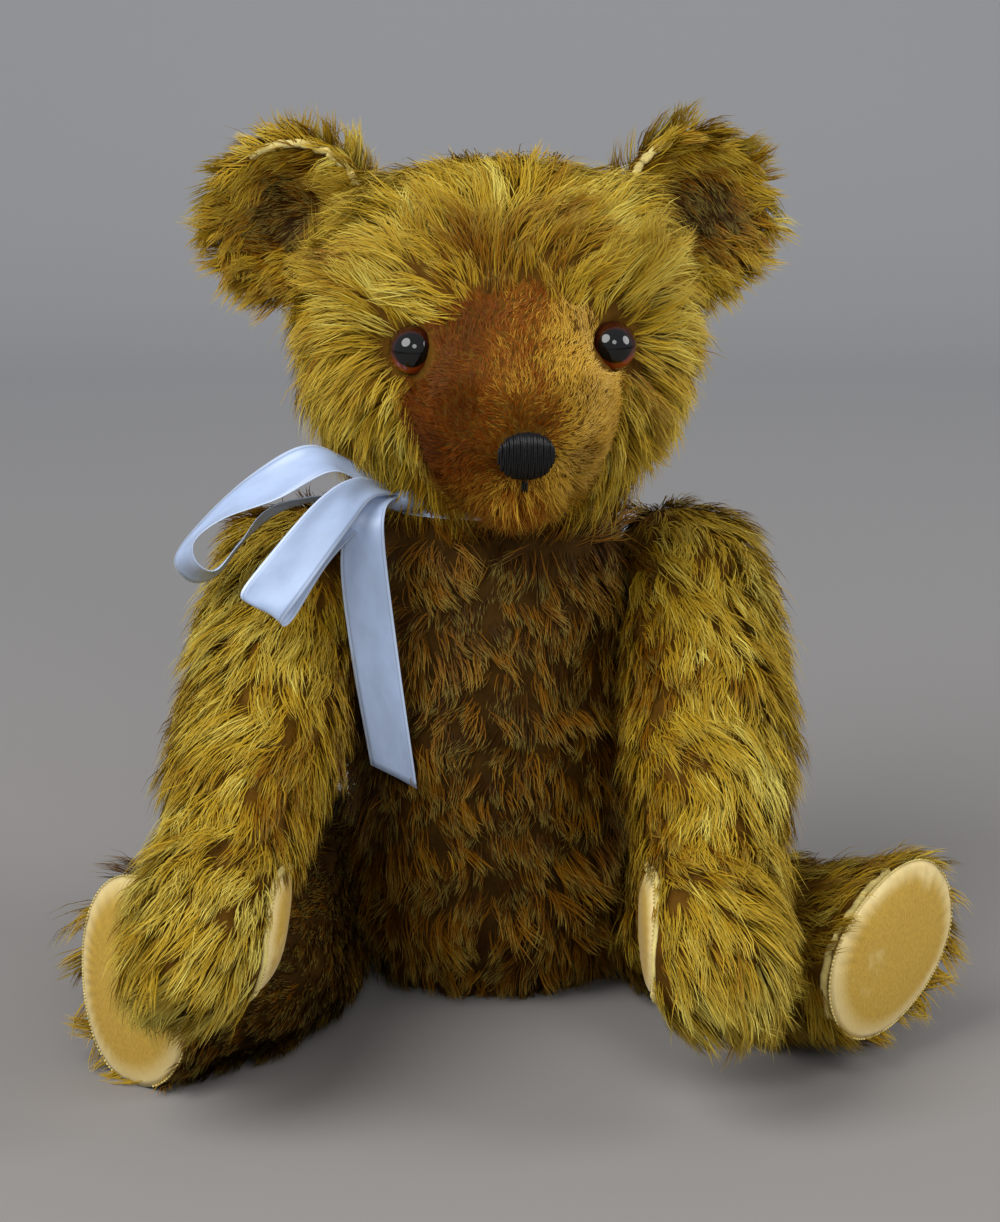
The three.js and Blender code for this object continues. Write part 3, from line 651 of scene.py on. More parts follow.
class TorsoPile(Pile):
    """Short, worn, darker pile that falls from the neck and parts along the front seam."""
    per_lock = 14

    def __init__(self, length):
        self.length = length

    def density(self, places, normals):
        free = (places[:, 2] > 5) & (places[:, 2] < 244)
        for name in ("right_shoulder", "left_shoulder", "right_hip", "left_hip"):
            free &= ~at_joint(places, name)
        seam = (np.abs(places[:, 0] + 1) < 1.1) & (places[:, 1] < 0)
        thick = np.where(seam, 0.25, 1.0) * (1 - 0.3 * ramp(places[:, 1], 0, 30))
        return np.where(free, thick * (1 + 1.2 * ramp(places[:, 2], 212, 226)), 0.0)

    def __call__(self, places, normals, rng):
        beside = (1 - ramp(np.abs(places[:, 0] + 1), 2, 13)) * (places[:, 1] < 0)
        comb = np.tile((0.0, 0.0, -1.0), (len(places), 1))
        comb[:, 0] += np.sign(places[:, 0] + 1) * beside * 0.3
        wave = drift(places * (0.55, 1, 1.9), 30, 41)
        comb = rotated(unit(comb), normals, 0.6 * wave + 0.4 * drift(places, 60, 42))
        low = ramp(-places[:, 2], -120, -30)
        tone = 0.12 + 0.09 * wave + 0.08 * drift(places, 16, 43) + 0.03 * low
        tone = tone + 0.08 * beside * drift(places, 9, 44)
        grow = 0.95 + 0.35 * low - 0.25 * beside + 0.2 * ramp(wave, 0, 1)
        collar = ramp(places[:, 2], 212, 228)
        outward = unit(places * (1, 1, 0))
        comb = comb * (1 - collar)[:, None] + (outward * 0.2 + (0, 0, 1.0)) * collar[:, None]
        flank = ramp(np.abs(places[:, 0]), 38, 56) * (1 - collar)
        grow = grow + 0.9 * collar + 0.45 * flank
        return look(places, comb=comb, length=self.length * grow,
                    lift=28 + 8 * wave + 4 * collar + 10 * flank, tone=tone, ruffle=11, patch=0.04,
                    spread=3.2, gather=0.4, sag=0.2 * (1 - collar.mean()))


class LimbPile(Pile):
    """What arms and legs share: pile that runs down the limb, left off where it meets the torso."""

    def __init__(self, limb, joint, length):
        self.limb, self.joint, self.length = limb, joint, length
        self.spine = np.array(SPINES[limb], float)
        self.side = -1 if limb.startswith("right") else 1

    def along(self, places):
        """The way the limb runs beside each place, and how far down it that is, from 0 to 1."""
        starts, ends = self.spine[:-1], self.spine[1:]
        best = np.full(len(places), 1e9)
        heading = np.zeros_like(places, dtype=float)
        share = np.zeros(len(places))
        for k, (start, end) in enumerate(zip(starts, ends)):
            run = end - start
            t = np.clip(((places - start) @ run) / (run @ run), 0, 1)
            gap = np.linalg.norm(places - start - t[:, None] * run, axis=1)
            closer = gap < best
            best = np.where(closer, gap, best)
            heading[closer] = unit(run)
            share[closer] = (k + t[closer]) / len(starts)
        return heading, share

    def density(self, places, normals):
        return np.where(at_joint(places, self.joint), 0.0, 1.0)


class ArmPile(LimbPile):
    """Long golden pile down an arm, browner on its inner side as painted shade, with painted shade across
    two folds of the left arm, clear of the palm's seam.
    """

    def pad_frame(self):
        """Middle, inward, lengthwise and crosswise directions of the palm pad."""
        heading, _ = self.along(np.array([PAW_CENTRES[self.limb]], float))
        inward = np.array((-self.side, 0.0, 0.0))
        long = unit(heading[0] - heading[0] @ inward * inward)
        wide = np.cross(inward, long)
        centre = np.array(PAW_CENTRES[self.limb]) - PAD_BACK * heading[0]
        return centre - self.side * PAD_UNDER[self.limb] * wide, inward, long, wide

    def pad_offset(self, places):
        """How far out from the middle of the palm pad a place is, where its rim is 1."""
        centre, inward, long, wide = self.pad_frame()
        offset = places - centre
        oval = np.sqrt((offset @ long / PAD_SIZE[0]) ** 2 + (offset @ wide / PAD_SIZE[1]) ** 2)
        return np.where(offset @ inward > 0, oval, 9.0)

    def density(self, places, normals):
        return super().density(places, normals) * (self.pad_offset(places) > 1.14)

    def __call__(self, places, normals, rng):
        heading, share = self.along(places)
        comb = heading * 1.0 + np.array((self.side * 0.28, 0, -0.35))
        paw = ramp(share, 0.66, 0.84)
        comb = comb + np.outer(paw, (self.side * 0.75, 0, -0.5))
        comb = rotated(unit(comb), normals, 0.45 * drift(places, 40, 51) + 0.2 * drift(places, 14, 52))
        inner = ramp(-normals[:, 0] * self.side, 0.0, 0.8)
        # Painted shade: browner on the inner side, which faces the torso.
        tone = 0.66 + 0.12 * drift(places, 42, 53) + 0.07 * drift(places, 14, 54) - 0.24 * inner * (1 - paw)
        tone = tone - 0.1 * (1 - ramp(share, 0.08, 0.3)) + 0.06 * paw
        if self.side > 0:
            # Painted shade: two dark bands across the left arm where it folds.
            fold_shade = sum(np.exp(-(((share - at) / 0.022) ** 2)) for at in (0.4, 0.68))
            tone = tone - 0.18 * fold_shade
        rim = 1 - ramp(self.pad_offset(places), 1.1, 1.6)
        outer = ramp(normals[:, 0] * self.side, 0.1, 0.8)
        top = 1 - ramp(share, 0.05, 0.3)
        back = top * ramp(places[:, 1], 20, 40)
        grow = 1 - 0.1 * inner - 0.25 * rim + 0.2 * outer - 0.4 * back
        return look(places, comb=comb, length=self.length * grow, lift=26 + 12 * outer - 6 * top - 8 * back,
                    tone=tone, ruffle=7, patch=0.07, spread=4.0, gather=0.5, sag=0.35)


class LegPile(LimbPile):
    """Pile down a leg. The right leg's inner side is worn short and dark, its darkness partly painted shade,
    with a few painted highlights.
    """

    def __init__(self, limb, joint, length, sole):
        super().__init__(limb, joint, length)
        self.middle, self.facing, self.long, self.wide, self.size = sole

    def density(self, places, normals):
        behind = dot(places - self.middle, self.facing) < -2.6
        under = (places[:, 2] < 3.5) & (normals[:, 2] < -0.75)
        thick = np.where(under, 0.3, 1.0) * (1 + 1.2 * self.worn(normals))
        return super().density(places, normals) * behind * thick

    def worn(self, normals):
        """From 0 to 1, how worn a place is, which also darkens its tone, partly as painted shade: the right
        leg's inner side only.
        """
        return ramp(normals[:, 0], -0.35, 0.1) if self.side < 0 else np.zeros(len(normals))

    def clear(self, strand):
        """Keeps the velvet clear: strands may pass the sole only outside its rim."""
        offset = strand[:, 1:] - self.middle
        ahead = dot(offset, self.facing)
        oval = np.hypot(offset @ self.long / self.size[0], offset @ self.wide / self.size[1])
        over = np.where(strand[:, 1:, 2] < 6, 0.93, 1.0)
        return ~((ahead > -0.5) & ((oval < over) | (ahead > 12))).any(1)

    def __call__(self, places, normals, rng):
        heading, share = self.along(places)
        comb = heading + np.array((self.side * 0.35, 0, -0.35))
        rim = 1 - ramp(-dot(places - self.middle, self.facing), 4, 22)
        low = 1 - ramp(places[:, 2], 5, 26)
        under = rim * ramp(-normals[:, 2], 0.25, 0.75)
        crest = rim * ramp(normals[:, 2], 0.1, 0.7)
        comb = comb + self.facing * (2.4 * under - 0.8 * rim)[:, None]
        comb = comb + normals * (1, 1, 0) * (1.3 * low)[:, None]
        comb = comb + np.outer(crest, (self.side * 1.0, 0, 0.5))
        comb = rotated(unit(comb), normals, 0.5 * drift(places, 36, 61))
        foot = ramp(share, 0.7, 0.95)
        if self.side > 0:
            tone = 0.5 + 0.14 * drift(places, 34, 62) + 0.07 * drift(places, 13, 63) + 0.06 * foot
            grow = 1.0 + 0.15 * rim
            patch = 0.08
        else:
            worn = self.worn(normals)
            # Painted highlights: a few pale glints among the worn side's pile.
            painted_glints = (rng.random(len(places)) < 0.03) * 0.4 * worn
            # Dark on the worn side: the pile's own darker colour and painted shade.
            tone = 0.6 * (1 - worn) + 0.06 * worn + painted_glints + 0.05 * drift(places, 20, 64) + 0.1 * rim * worn
            worn = worn * (1 - 0.55 * np.maximum(low, rim))
            grow = 1 - 0.52 * worn + 0.2 * rim + 0.6 * crest
            patch = 0.05
        return look(places, comb=comb, length=self.length * grow, lift=26 + 24 * rim - 30 * under,
                    tone=tone, ruffle=9, patch=patch, spread=3.6, gather=0.5, sag=0.3)


# ---------------------------------------------------------------- materials
class Nodes:
    """A short way to write a node tree: each call adds a node, sets it and links its inputs."""

    def __init__(self, tree):
        self.tree = tree

    def add(self, kind, inputs=None, **settings):
        node = self.tree.nodes.new(kind)
        for key, value in settings.items():
            setattr(node, key, value)
        for key, value in (inputs or {}).items():
            self.join(value, node.inputs[key])
        return node

    def join(self, value, socket):
        if isinstance(value, bpy.types.NodeSocket):
            self.tree.links.new(value, socket)
        elif isinstance(value, tuple) and socket.type == "RGBA" and len(value) == 3:
            socket.default_value = (*value, 1)
        else:
            socket.default_value = value

    def math(self, operation, a, b=0.0, clamp=False):
        node = self.add("ShaderNodeMath", operation=operation, use_clamp=clamp)
        self.join(a, node.inputs[0])
        self.join(b, node.inputs[1])
        return node.outputs[0]

    def range(self, value, low, high, to_low=0.0, to_high=1.0):
        node = self.add("ShaderNodeMapRange", {"Value": value, "From Min": low, "From Max": high,
                                               "To Min": to_low, "To Max": to_high},
                        interpolation_type="SMOOTHSTEP")
        return node.outputs[0]

    def blend(self, factor, a, b, kind="MIX"):
        node = self.add("ShaderNodeMix", data_type="RGBA", blend_type=kind)
        self.join(factor, node.inputs["Factor"])
        self.join(a, node.inputs[6])
        self.join(b, node.inputs[7])
        return node.outputs[2]

    def noise(self, vector, scale, detail=3.0, roughness=0.55):
        return self.add("ShaderNodeTexNoise", {"Vector": vector, "Scale": scale, "Detail": detail,
                                               "Roughness": roughness}).outputs["Fac"]

    def bump(self, height, strength, distance):
        return self.add("ShaderNodeBump", {"Height": height, "Strength": strength,
                                           "Distance": distance}).outputs["Normal"]

    def object_place(self):
        return self.add("ShaderNodeTexCoord").outputs["Object"]

    def stretched(self, vector, scale):
        return self.add("ShaderNodeMapping", {"Vector": vector, "Scale": scale}).outputs[0]


def node_group(name, inputs, outputs):
    group = bpy.data.node_groups.new(name, "ShaderNodeTree")
    for label, kind, value in inputs:
        socket = group.interface.new_socket(label, in_out="INPUT", socket_type=kind)
        socket.default_value = (*value, 1) if kind == "NodeSocketColor" else value
    for label, kind in outputs:
        group.interface.new_socket(label, in_out="OUTPUT", socket_type=kind)
    nodes = Nodes(group)
    return nodes, nodes.add("NodeGroupInput").outputs, nodes.add("NodeGroupOutput").inputs


def strand_colour_group():
    """Colour of a strand from its map: its tone runs across the map and its root to tip runs up."""
    if "Strand colour" in bpy.data.node_groups:
        return bpy.data.node_groups["Strand colour"]
    colours = [(name, "NodeSocketColor", (0.1, 0.1, 0.1))
               for name in ("Root", "Darkest", "Dark", "Middle", "Light")]
    nodes, given, out = node_group(
        "Strand colour",
        [*colours, ("Root depth", "NodeSocketFloat", 0.5), ("Tip", "NodeSocketFloat", 0.3)],
        [("Color", "NodeSocketColor"), ("Roughness", "NodeSocketFloat")],
    )
    chart = nodes.add("ShaderNodeUVMap", uv_map="OFBake").outputs[0]
    parts = nodes.add("ShaderNodeSeparateXYZ", {"Vector": chart}).outputs
    tone = nodes.blend(nodes.range(parts[0], 0.0, 0.28), given["Darkest"], given["Dark"])
    tone = nodes.blend(nodes.range(parts[0], 0.28, 0.62), tone, given["Middle"])
    tone = nodes.blend(nodes.range(parts[0], 0.62, 0.95), tone, given["Light"])
    streak = nodes.noise(nodes.stretched(chart, (150, 1.6, 1)), 1.0, 2.0)
    tone = nodes.blend(0.5, tone, nodes.blend(streak, (0.55, 0.52, 0.45), (1.0, 1.0, 0.95)), "MULTIPLY")
    # Painted shade: darker towards the root, deep in the pile.
    foot = nodes.range(nodes.math("DIVIDE", parts[1], given["Root depth"]), 0.0, 1.0)
    tone = nodes.blend(foot, nodes.blend(0.45, given["Root"], tone), tone)
    tip = nodes.math("MULTIPLY", nodes.range(parts[1], 0.6, 1.0), given["Tip"])
    nodes.join(nodes.blend(tip, tone, given["Light"]), out["Color"])
    nodes.join(nodes.range(streak, 0.2, 0.8, 0.62, 0.42), out["Roughness"])
    return nodes.tree


def grain_group():
    """Soft mottling and a fine nap for cloth, on the piece's own place."""
    if "Cloth grain" in bpy.data.node_groups:
        return bpy.data.node_groups["Cloth grain"]
    nodes, given, out = node_group(
        "Cloth grain",
        [("Patch size", "NodeSocketFloat", 60.0), ("Nap size", "NodeSocketFloat", 1600.0)],
        [("Patches", "NodeSocketFloat"), ("Nap", "NodeSocketFloat"), ("Height", "NodeSocketFloat")],
    )
    place = nodes.object_place()
    patches = nodes.noise(place, given["Patch size"], 4.0)
    nap = nodes.noise(nodes.stretched(place, (1, 1, 0.45)), given["Nap size"], 2.0)
    nodes.join(patches, out["Patches"])
    nodes.join(nap, out["Nap"])
    nodes.join(nodes.math("ADD", nodes.math("MULTIPLY", patches, 0.4), nap), out["Height"])
    return nodes.tree


def new_material(name, **constants):
    material = bpy.data.materials.new(name)
    material.use_nodes = True
    nodes = Nodes(material.node_tree)
    shader = material.node_tree.nodes["Principled BSDF"]
    for key, value in constants.items():
        shader.inputs[key.replace("_", " ")].default_value = value
    return material, nodes, shader.inputs


def place_group(nodes, group, inputs):
    node = nodes.add("ShaderNodeGroup", node_tree=group)
    for key, value in inputs.items():
        nodes.join(value, node.inputs[key])
    return node.outputs


def pile_material(name, root, tones, depth, tip=0.3):
    if name in bpy.data.materials:
        return bpy.data.materials[name]
    material, nodes, shader = new_material(name, Specular_IOR_Level=0.16,
                                           Specular_Tint=(1.0, 0.80, 0.42, 1.0))
    given = dict(zip(("Darkest", "Dark", "Middle", "Light"), map(tuple, tones)))
    out = place_group(nodes, strand_colour_group(), {"Root": tuple(root), "Root depth": depth,
                                                     "Tip": tip, **given})
    nodes.join(out["Color"], shader["Base Color"])
    nodes.join(out["Roughness"], shader["Roughness"])
    return material


def cloth_material(name, main, other, patch=60.0, nap=1600.0, strength=0.35, distance=0.0006, **constants):
    if name in bpy.data.materials:
        return bpy.data.materials[name]
    material, nodes, shader = new_material(name, **constants)
    grain = place_group(nodes, grain_group(), {"Patch size": patch, "Nap size": nap})
    mix = nodes.range(nodes.math("ADD", nodes.math("MULTIPLY", grain["Patches"], 0.75),
                                 nodes.math("MULTIPLY", grain["Nap"], 0.25)), 0.3, 0.7)
    nodes.join(nodes.blend(mix, tuple(main), tuple(other)), shader["Base Color"])
    nodes.join(nodes.range(grain["Patches"], 0.2, 0.8, 0.95, 0.75), shader["Roughness"])
    nodes.join(nodes.bump(grain["Height"], strength, distance), shader["Normal"])
    return material


def velvet_material(cloth):
    """Velvet: cream in scuffed patches of rubbed wear, and cream at the rim as rubbed wear and painted
    sheen, with a nap that catches light.
    """
    if "Rubbed velvet with painted sheen" in bpy.data.materials:
        return bpy.data.materials["Rubbed velvet with painted sheen"]
    material, nodes, shader = new_material("Rubbed velvet with painted sheen", Sheen_Weight=0.2, Sheen_Roughness=0.35,
                                           Specular_IOR_Level=0.2)
    grain = place_group(nodes, grain_group(), {"Patch size": 45.0, "Nap size": 1300.0})
    rim = nodes.add("ShaderNodeAttribute", attribute_name="rim").outputs["Fac"]
    # Paler at the rim, as rubbed wear and painted sheen, and in scuffed patches of wear.
    worn = nodes.math("ADD", nodes.range(rim, 0.72, 1.0), nodes.range(grain["Patches"], 0.56, 0.78, 0, 0.5),
                      clamp=True)
    tint = nodes.blend(nodes.range(grain["Nap"], 0.3, 0.7), tuple(c * 0.8 for c in cloth.velvet),
                       tuple(cloth.velvet))
    nodes.join(nodes.blend(worn, tint, tuple(cloth.velvet_rim_wear_and_sheen)), shader["Base Color"])
    nodes.join(nodes.range(grain["Patches"], 0.3, 0.7, 0.85, 0.6), shader["Roughness"])
    nodes.join(nodes.bump(grain["Height"], 0.35, 0.0005), shader["Normal"])
    return material


def satin_material(ribbon):
    """Satin with a corded edge: fine ribs across it, and a stitched line inside each selvedge."""
    if "Blue satin" in bpy.data.materials:
        return bpy.data.materials["Blue satin"]
    material, nodes, shader = new_material("Blue satin", Sheen_Weight=0.15, Anisotropic=0.5,
                                           Specular_IOR_Level=0.6, Coat_Weight=0.08, Coat_Roughness=0.3)
    chart = nodes.add("ShaderNodeUVMap", uv_map="UVMap").outputs[0]
    parts = nodes.add("ShaderNodeSeparateXYZ", {"Vector": chart}).outputs
    from_edge = nodes.math("SUBTRACT", 0.5, nodes.math("ABSOLUTE", nodes.math("SUBTRACT", parts[0], 0.5)))
    cord = nodes.range(from_edge, 0.055, 0.03)
    line = nodes.math("MULTIPLY", nodes.range(from_edge, 0.045, 0.06), nodes.range(from_edge, 0.085, 0.065))
    ribs = nodes.math("SINE", nodes.math("MULTIPLY", parts[1], 9000.0))
    soft = nodes.noise(nodes.stretched(chart, (3, 60, 1)), 1.0, 3.0)
    base = nodes.blend(nodes.range(soft, 0.35, 0.65), tuple(c * 0.9 for c in ribbon.satin),
                       tuple(ribbon.satin))
    base = nodes.blend(cord, base, tuple(ribbon.selvedge))
    base = nodes.blend(nodes.math("MULTIPLY", line, 0.5), base, tuple(c * 0.5 for c in ribbon.satin))
    nodes.join(base, shader["Base Color"])
    nodes.join(nodes.range(soft, 0.3, 0.7, 0.34, 0.44), shader["Roughness"])
    height = nodes.math("ADD", nodes.math("MULTIPLY", ribs, 0.15), nodes.math("SUBTRACT", cord, line))
    nodes.join(nodes.bump(height, 0.25, 0.0002), shader["Normal"])
    return material


def eye_material(eyes):
    """A glass eye: a black pupil, a thin iris with painted shade above and painted light below, all under
    clear glass.
    """
    if "Glass eye" in bpy.data.materials:
        return bpy.data.materials["Glass eye"]
    material, nodes, shader = new_material("Glass eye", Roughness=0.3, Specular_IOR_Level=0.0,
                                           Coat_Weight=1.0, Coat_Roughness=0.02, Coat_IOR=1.5)
    polar = nodes.add("ShaderNodeAttribute", attribute_name="polar").outputs["Fac"]
    fall = nodes.add("ShaderNodeAttribute", attribute_name="low").outputs["Fac"]
    iris = nodes.range(polar, eyes.pupil - 0.03, eyes.pupil + 0.05)
    streaks = nodes.noise(nodes.object_place(), 500.0, 2.0)
    # Painted light towards the bottom of the iris, painted shade towards its top.
    painted_glow = nodes.math("MULTIPLY", nodes.range(fall, -0.1, 0.75), nodes.range(streaks, 0.2, 0.8, 0.7, 1.0))
    ring = nodes.blend(painted_glow, tuple(eyes.rim), tuple(eyes.amber))
    ring = nodes.blend(nodes.range(polar, 1.15, 1.45), ring, (0.006, 0.003, 0.002))
    nodes.join(nodes.blend(iris, (0.003, 0.003, 0.003), ring), shader["Base Color"])
    return material


def thread_material(cloth):
    if "Nose thread" in bpy.data.materials:
        return bpy.data.materials["Nose thread"]
    material, nodes, shader = new_material("Nose thread", Specular_IOR_Level=0.3, Roughness=0.42)
    fibre = nodes.noise(nodes.stretched(nodes.object_place(), (1, 1, 0.15)), 3500.0, 2.0)
    nodes.join(nodes.blend(nodes.range(fibre, 0.4, 0.75), tuple(cloth.thread), (0.018, 0.018, 0.021)),
               shader["Base Color"])
    nodes.join(nodes.bump(fibre, 0.5, 0.0003), shader["Normal"])
    return material


def steel_material():
    if "Dull steel" in bpy.data.materials:
        return bpy.data.materials["Dull steel"]
    material, nodes, shader = new_material("Dull steel", Metallic=1.0)
    brushed = nodes.noise(nodes.stretched(nodes.object_place(), (1, 6, 1)), 700.0, 3.0)
    nodes.join(nodes.blend(nodes.range(brushed, 0.35, 0.7), (0.30, 0.30, 0.29), (0.47, 0.46, 0.44)),
               shader["Base Color"])
    nodes.join(nodes.range(brushed, 0.3, 0.7, 0.3, 0.5), shader["Roughness"])
    nodes.join(nodes.bump(brushed, 0.1, 0.0001), shader["Normal"])
    return material


def mohair(fur):
    return pile_material("Mohair pile", fur.root, (fur.dark, fur.brown, fur.gold, fur.pale), 0.45)


def ground_in_painted_shade(fur, worn):
    """The woven ground under the pile, dark with painted shade: darker still under the worn pile of the
    torso and right leg, browner under the long pile.
    """
    name, share = ("Darker ground in painted shade", 0.55) if worn else ("Ground in painted shade", 1.3)
    return cloth_material(name, tuple(c * share for c in fur.root), tuple(c * share * 2 for c in fur.root),
                          patch=70.0, nap=1500.0, Specular_IOR_Level=0.1)


# ---------------------------------------------------------------- operators
def stuffed_part(name, nodes, body, scene, rule, strands, seed, pile_name=None):
    """A sewn and stuffed skin over CAD nodes, and the pile that grows on it."""
    cloth, fur = scene.bear_cloth, scene.bear_fur
    skin = stuffed_skin(name, nodes, cloth.voxel)
    pile = grow_pile(pile_name or f"{name}_pile", skin, strands, rule, seed, fur.strand_width)
    finish_piece(skin, body, ground_in_painted_shade(fur, body in ("torso", "right_leg")))
    finish_piece(pile, body, mohair(fur))
    return skin


class BEAR_OT_torso(bpy.types.Operator):
    """Adds the stuffed torso, its short worn pile and its front seam"""
    bl_idname = "bear.torso"
    bl_label = "Torso"

    def execute(self, context):
        scene = context.scene
        skin = stuffed_part("torso_body", ["torso_cover", "torso_stuffing"], "torso", scene,
                            TorsoPile(scene.bear_fur.torso_length / MM), scene.bear_fur.torso_strands, 401)
        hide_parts("torso_cover")
        return {"FINISHED"}


class BEAR_OT_arms(bpy.types.Operator):
    """Adds both arms with their pile"""
    bl_idname = "bear.arms"
    bl_label = "Arms"

    def execute(self, context):
        scene = context.scene
        for seed, side in ((501, "right"), (502, "left")):
            arm = f"{side}_arm"
            rule = ArmPile(arm, f"{side}_shoulder", scene.bear_fur.arm_length / MM)
            skin = stuffed_part(f"{arm}_body", [f"{arm}_cover", f"{arm}_palm_pad", f"{arm}_stuffing"],
                                arm, scene, rule, scene.bear_fur.arm_strands, seed)
            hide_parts(f"{arm}_cover")
            add_palm(scene, arm, rule, skin)
        return {"FINISHED"}


class BEAR_OT_legs(bpy.types.Operator):
    """Adds both legs with their pile"""
    bl_idname = "bear.legs"
    bl_label = "Legs"

    def execute(self, context):
        scene = context.scene
        for seed, side in ((601, "right"), (602, "left")):
            leg = f"{side}_leg"
            sole = sole_frame(leg)
            rule = LegPile(leg, f"{side}_hip", scene.bear_fur.leg_length / MM, sole)
            skin = stuffed_part(f"{leg}_body", [f"{leg}_cover", f"{leg}_stuffing"], leg, scene, rule,
                                scene.bear_fur.leg_strands, seed)
            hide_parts(f"{leg}_cover")
            add_sole(scene, leg, *sole)
        return {"FINISHED"}


class BEAR_OT_head(bpy.types.Operator):
    """Adds the stuffed head with its long pile and the clipped pile of its muzzle"""
    bl_idname = "bear.head"
    bl_label = "Head"

    def execute(self, context):
        scene = context.scene
        fur = scene.bear_fur
        skin = stuffed_part("head_body", ["head_cover", "muzzle_cover", "head_stuffing"], "head", scene,
                            HeadPile(fur.head_length / MM), fur.head_strands, 301, "head_pile")
        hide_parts("head_cover")
        rule = MuzzlePile(fur.muzzle_length / MM, middle_of("nose_stitching"))
        clipped = grow_pile("muzzle_pile", skin, fur.muzzle_strands, rule, 302, fur.strand_width * 0.8,
                            segments=2)
        material = pile_material("Clipped pile", srgb(62, 28, 3),
                                 (srgb(88, 38, 3), fur.rust, fur.amber, srgb(226, 186, 96)), 0.35, 0.12)
        finish_piece(clipped, "head", material)
        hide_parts("muzzle_cover")
        return {"FINISHED"}


class BEAR_OT_ears(bpy.types.Operator):
    """Adds the cupped ears with their shaggy pile and bare rim seams"""
    bl_idname = "bear.ears"
    bl_label = "Ears"

    def execute(self, context):
        scene = context.scene
        fur, cloth = scene.bear_fur, scene.bear_cloth
        for seed, name, side, bare in ((701, "right_ear", -1, (24, 128)), (702, "left_ear", 1, (34, 78))):
            skin = stuffed_skin(f"{name}_body", [name], 0.0022, rounds=6)
            centre = turned_head((2 + side * 91, 2, 363))
            seam = rim_seam(centre, side, *bare)
            rule = EarPile(fur.head_length / MM, centre, side, seam)
            pile = grow_pile(f"{name}_pile", skin, fur.ear_strands, rule, seed, fur.strand_width)
            finish_piece(skin, "head", ground_in_painted_shade(fur, False))
            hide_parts(name)
            finish_piece(pile, "head", mohair(fur))
            tape = seam_tape(f"{name}_seam", seam, skin, 3.6)
            finish_piece(tape, "head", bare_material(cloth))
        return {"FINISHED"}


def bare_material(cloth):
    return cloth_material("Bare backing", tuple(c * 0.72 for c in cloth.bare), cloth.bare, patch=220.0,
                          nap=2600.0, strength=0.6, distance=0.0004)


def rim_seam(centre, side, start, end):
    """Places along the rim of an ear, where the pile has worn off its seam. Degrees up from the head."""
    splay = math.radians(14)
    headward = np.array((-side * math.cos(splay), -math.sin(splay), 0))
    return [centre + 31.5 * (math.cos(a) * headward + math.sin(a) * np.array((0, 0, 1.0)))
            + np.array((0, -4.0, 0)) for a in np.radians(np.linspace(start, end, 36))]


def nearest_on(skin, place):
    found, where, normal, _ = skin.closest_point_on_mesh(Vector(place) * MM)
    return (np.array(where) / MM, np.array(normal)) if found else (np.array(place), np.array((0, -1.0, 0)))


def seam_tape(name, route, skin, width):
    """A raised strip of bare backing cloth along a seam, crowned across its middle."""
    rows = []
    hits = [nearest_on(skin, place) for place in route]
    for k, (place, normal) in enumerate(hits):
        run = unit(hits[min(k + 1, len(hits) - 1)][0] - hits[max(k - 1, 0)][0])
        across = unit(np.cross(normal, run))
        wobble = 0.12 * math.sin(k * 2.1)
        rows.append([place + across * width * (t / 2 + wobble * 0.3) + normal * (0.9 - 0.9 * t * t)
                     for t in (-1.0, -0.6, 0.0, 0.6, 1.0)])
    points = [point * MM for row in rows for point in row]
    faces = [(5 * k + j, 5 * k + j + 1, 5 * k + j + 6, 5 * k + j + 5)
             for k in range(len(rows) - 1) for j in range(4)]
    tape = mesh_piece(name, points, faces)
    apply_modifier(tape, "SOLIDIFY", thickness=0.9 * MM, offset=0)
    face_outward(tape)
    return tape


def add_stitches(name, places, size, body, material):
    """Small raised stitches: one rounded bar modelled once and copied to each place."""
    bpy.ops.mesh.primitive_uv_sphere_add(segments=6, ring_count=4, radius=1)
    bar = bpy.context.active_object
    mesh = bar.data
    corners = np.array([v.co for v in mesh.vertices])
    faces = [tuple(p.vertices) for p in mesh.polygons]
    bpy.data.objects.remove(bar)
    points, all_faces = [], []
    for centre, long, normal in places:
        wide = np.cross(long, normal)
        start = len(points)
        points += [(centre + c[0] * size[0] * long + c[1] * size[1] * wide + c[2] * size[2] * normal) * MM
                   for c in corners]
        all_faces += [tuple(start + i for i in face) for face in faces]
    piece = mesh_piece(name, points, all_faces)
    face_outward(piece)
    return finish_piece(piece, body, material)


def sole_frame(leg):
    """Middle, outward normal, long and short directions and half sizes of a sole's CAD node."""
    mesh = frame["nodes"][f"{leg}_sole"].data
    mesh.calc_loop_triangles()
    places = np.array([v.co for v in mesh.vertices], float) / MM
    corners = places[np.array([t.vertices for t in mesh.loop_triangles])]
    facing = np.cross(corners[:, 1] - corners[:, 0], corners[:, 2] - corners[:, 0]) / 2
    area = np.linalg.norm(facing, axis=1)
    normal = facing[np.argmax(area)] / area.max()
    normal = normal * (-1 if normal[1] > 0 else 1)
    face = facing @ normal > 0.9 * area
    corners, area = corners[face], area[face]
    centre = (corners.mean(1) * area[:, None]).sum(0) / area.sum()
    shifted = np.concatenate([corners - centre, (corners.mean(1) - centre)[:, None].repeat(9, 1)], 1)
    moment = np.einsum("tki,tkj,t->ij", shifted, shifted, area)
    _, axes = np.linalg.eigh(moment)
    long = axes[:, 2]
    long = long * (-1 if long[2] < 0 else 1)
    wide = np.cross(normal, long)
    reach = (places - centre) @ np.stack([long, wide], 1)
    high, low = reach.max(0), reach.min(0)
    middle = centre + long * (high[0] + low[0]) / 2 + wide * (high[1] + low[1]) / 2
    return middle, normal, long, wide, (high - low) / 2


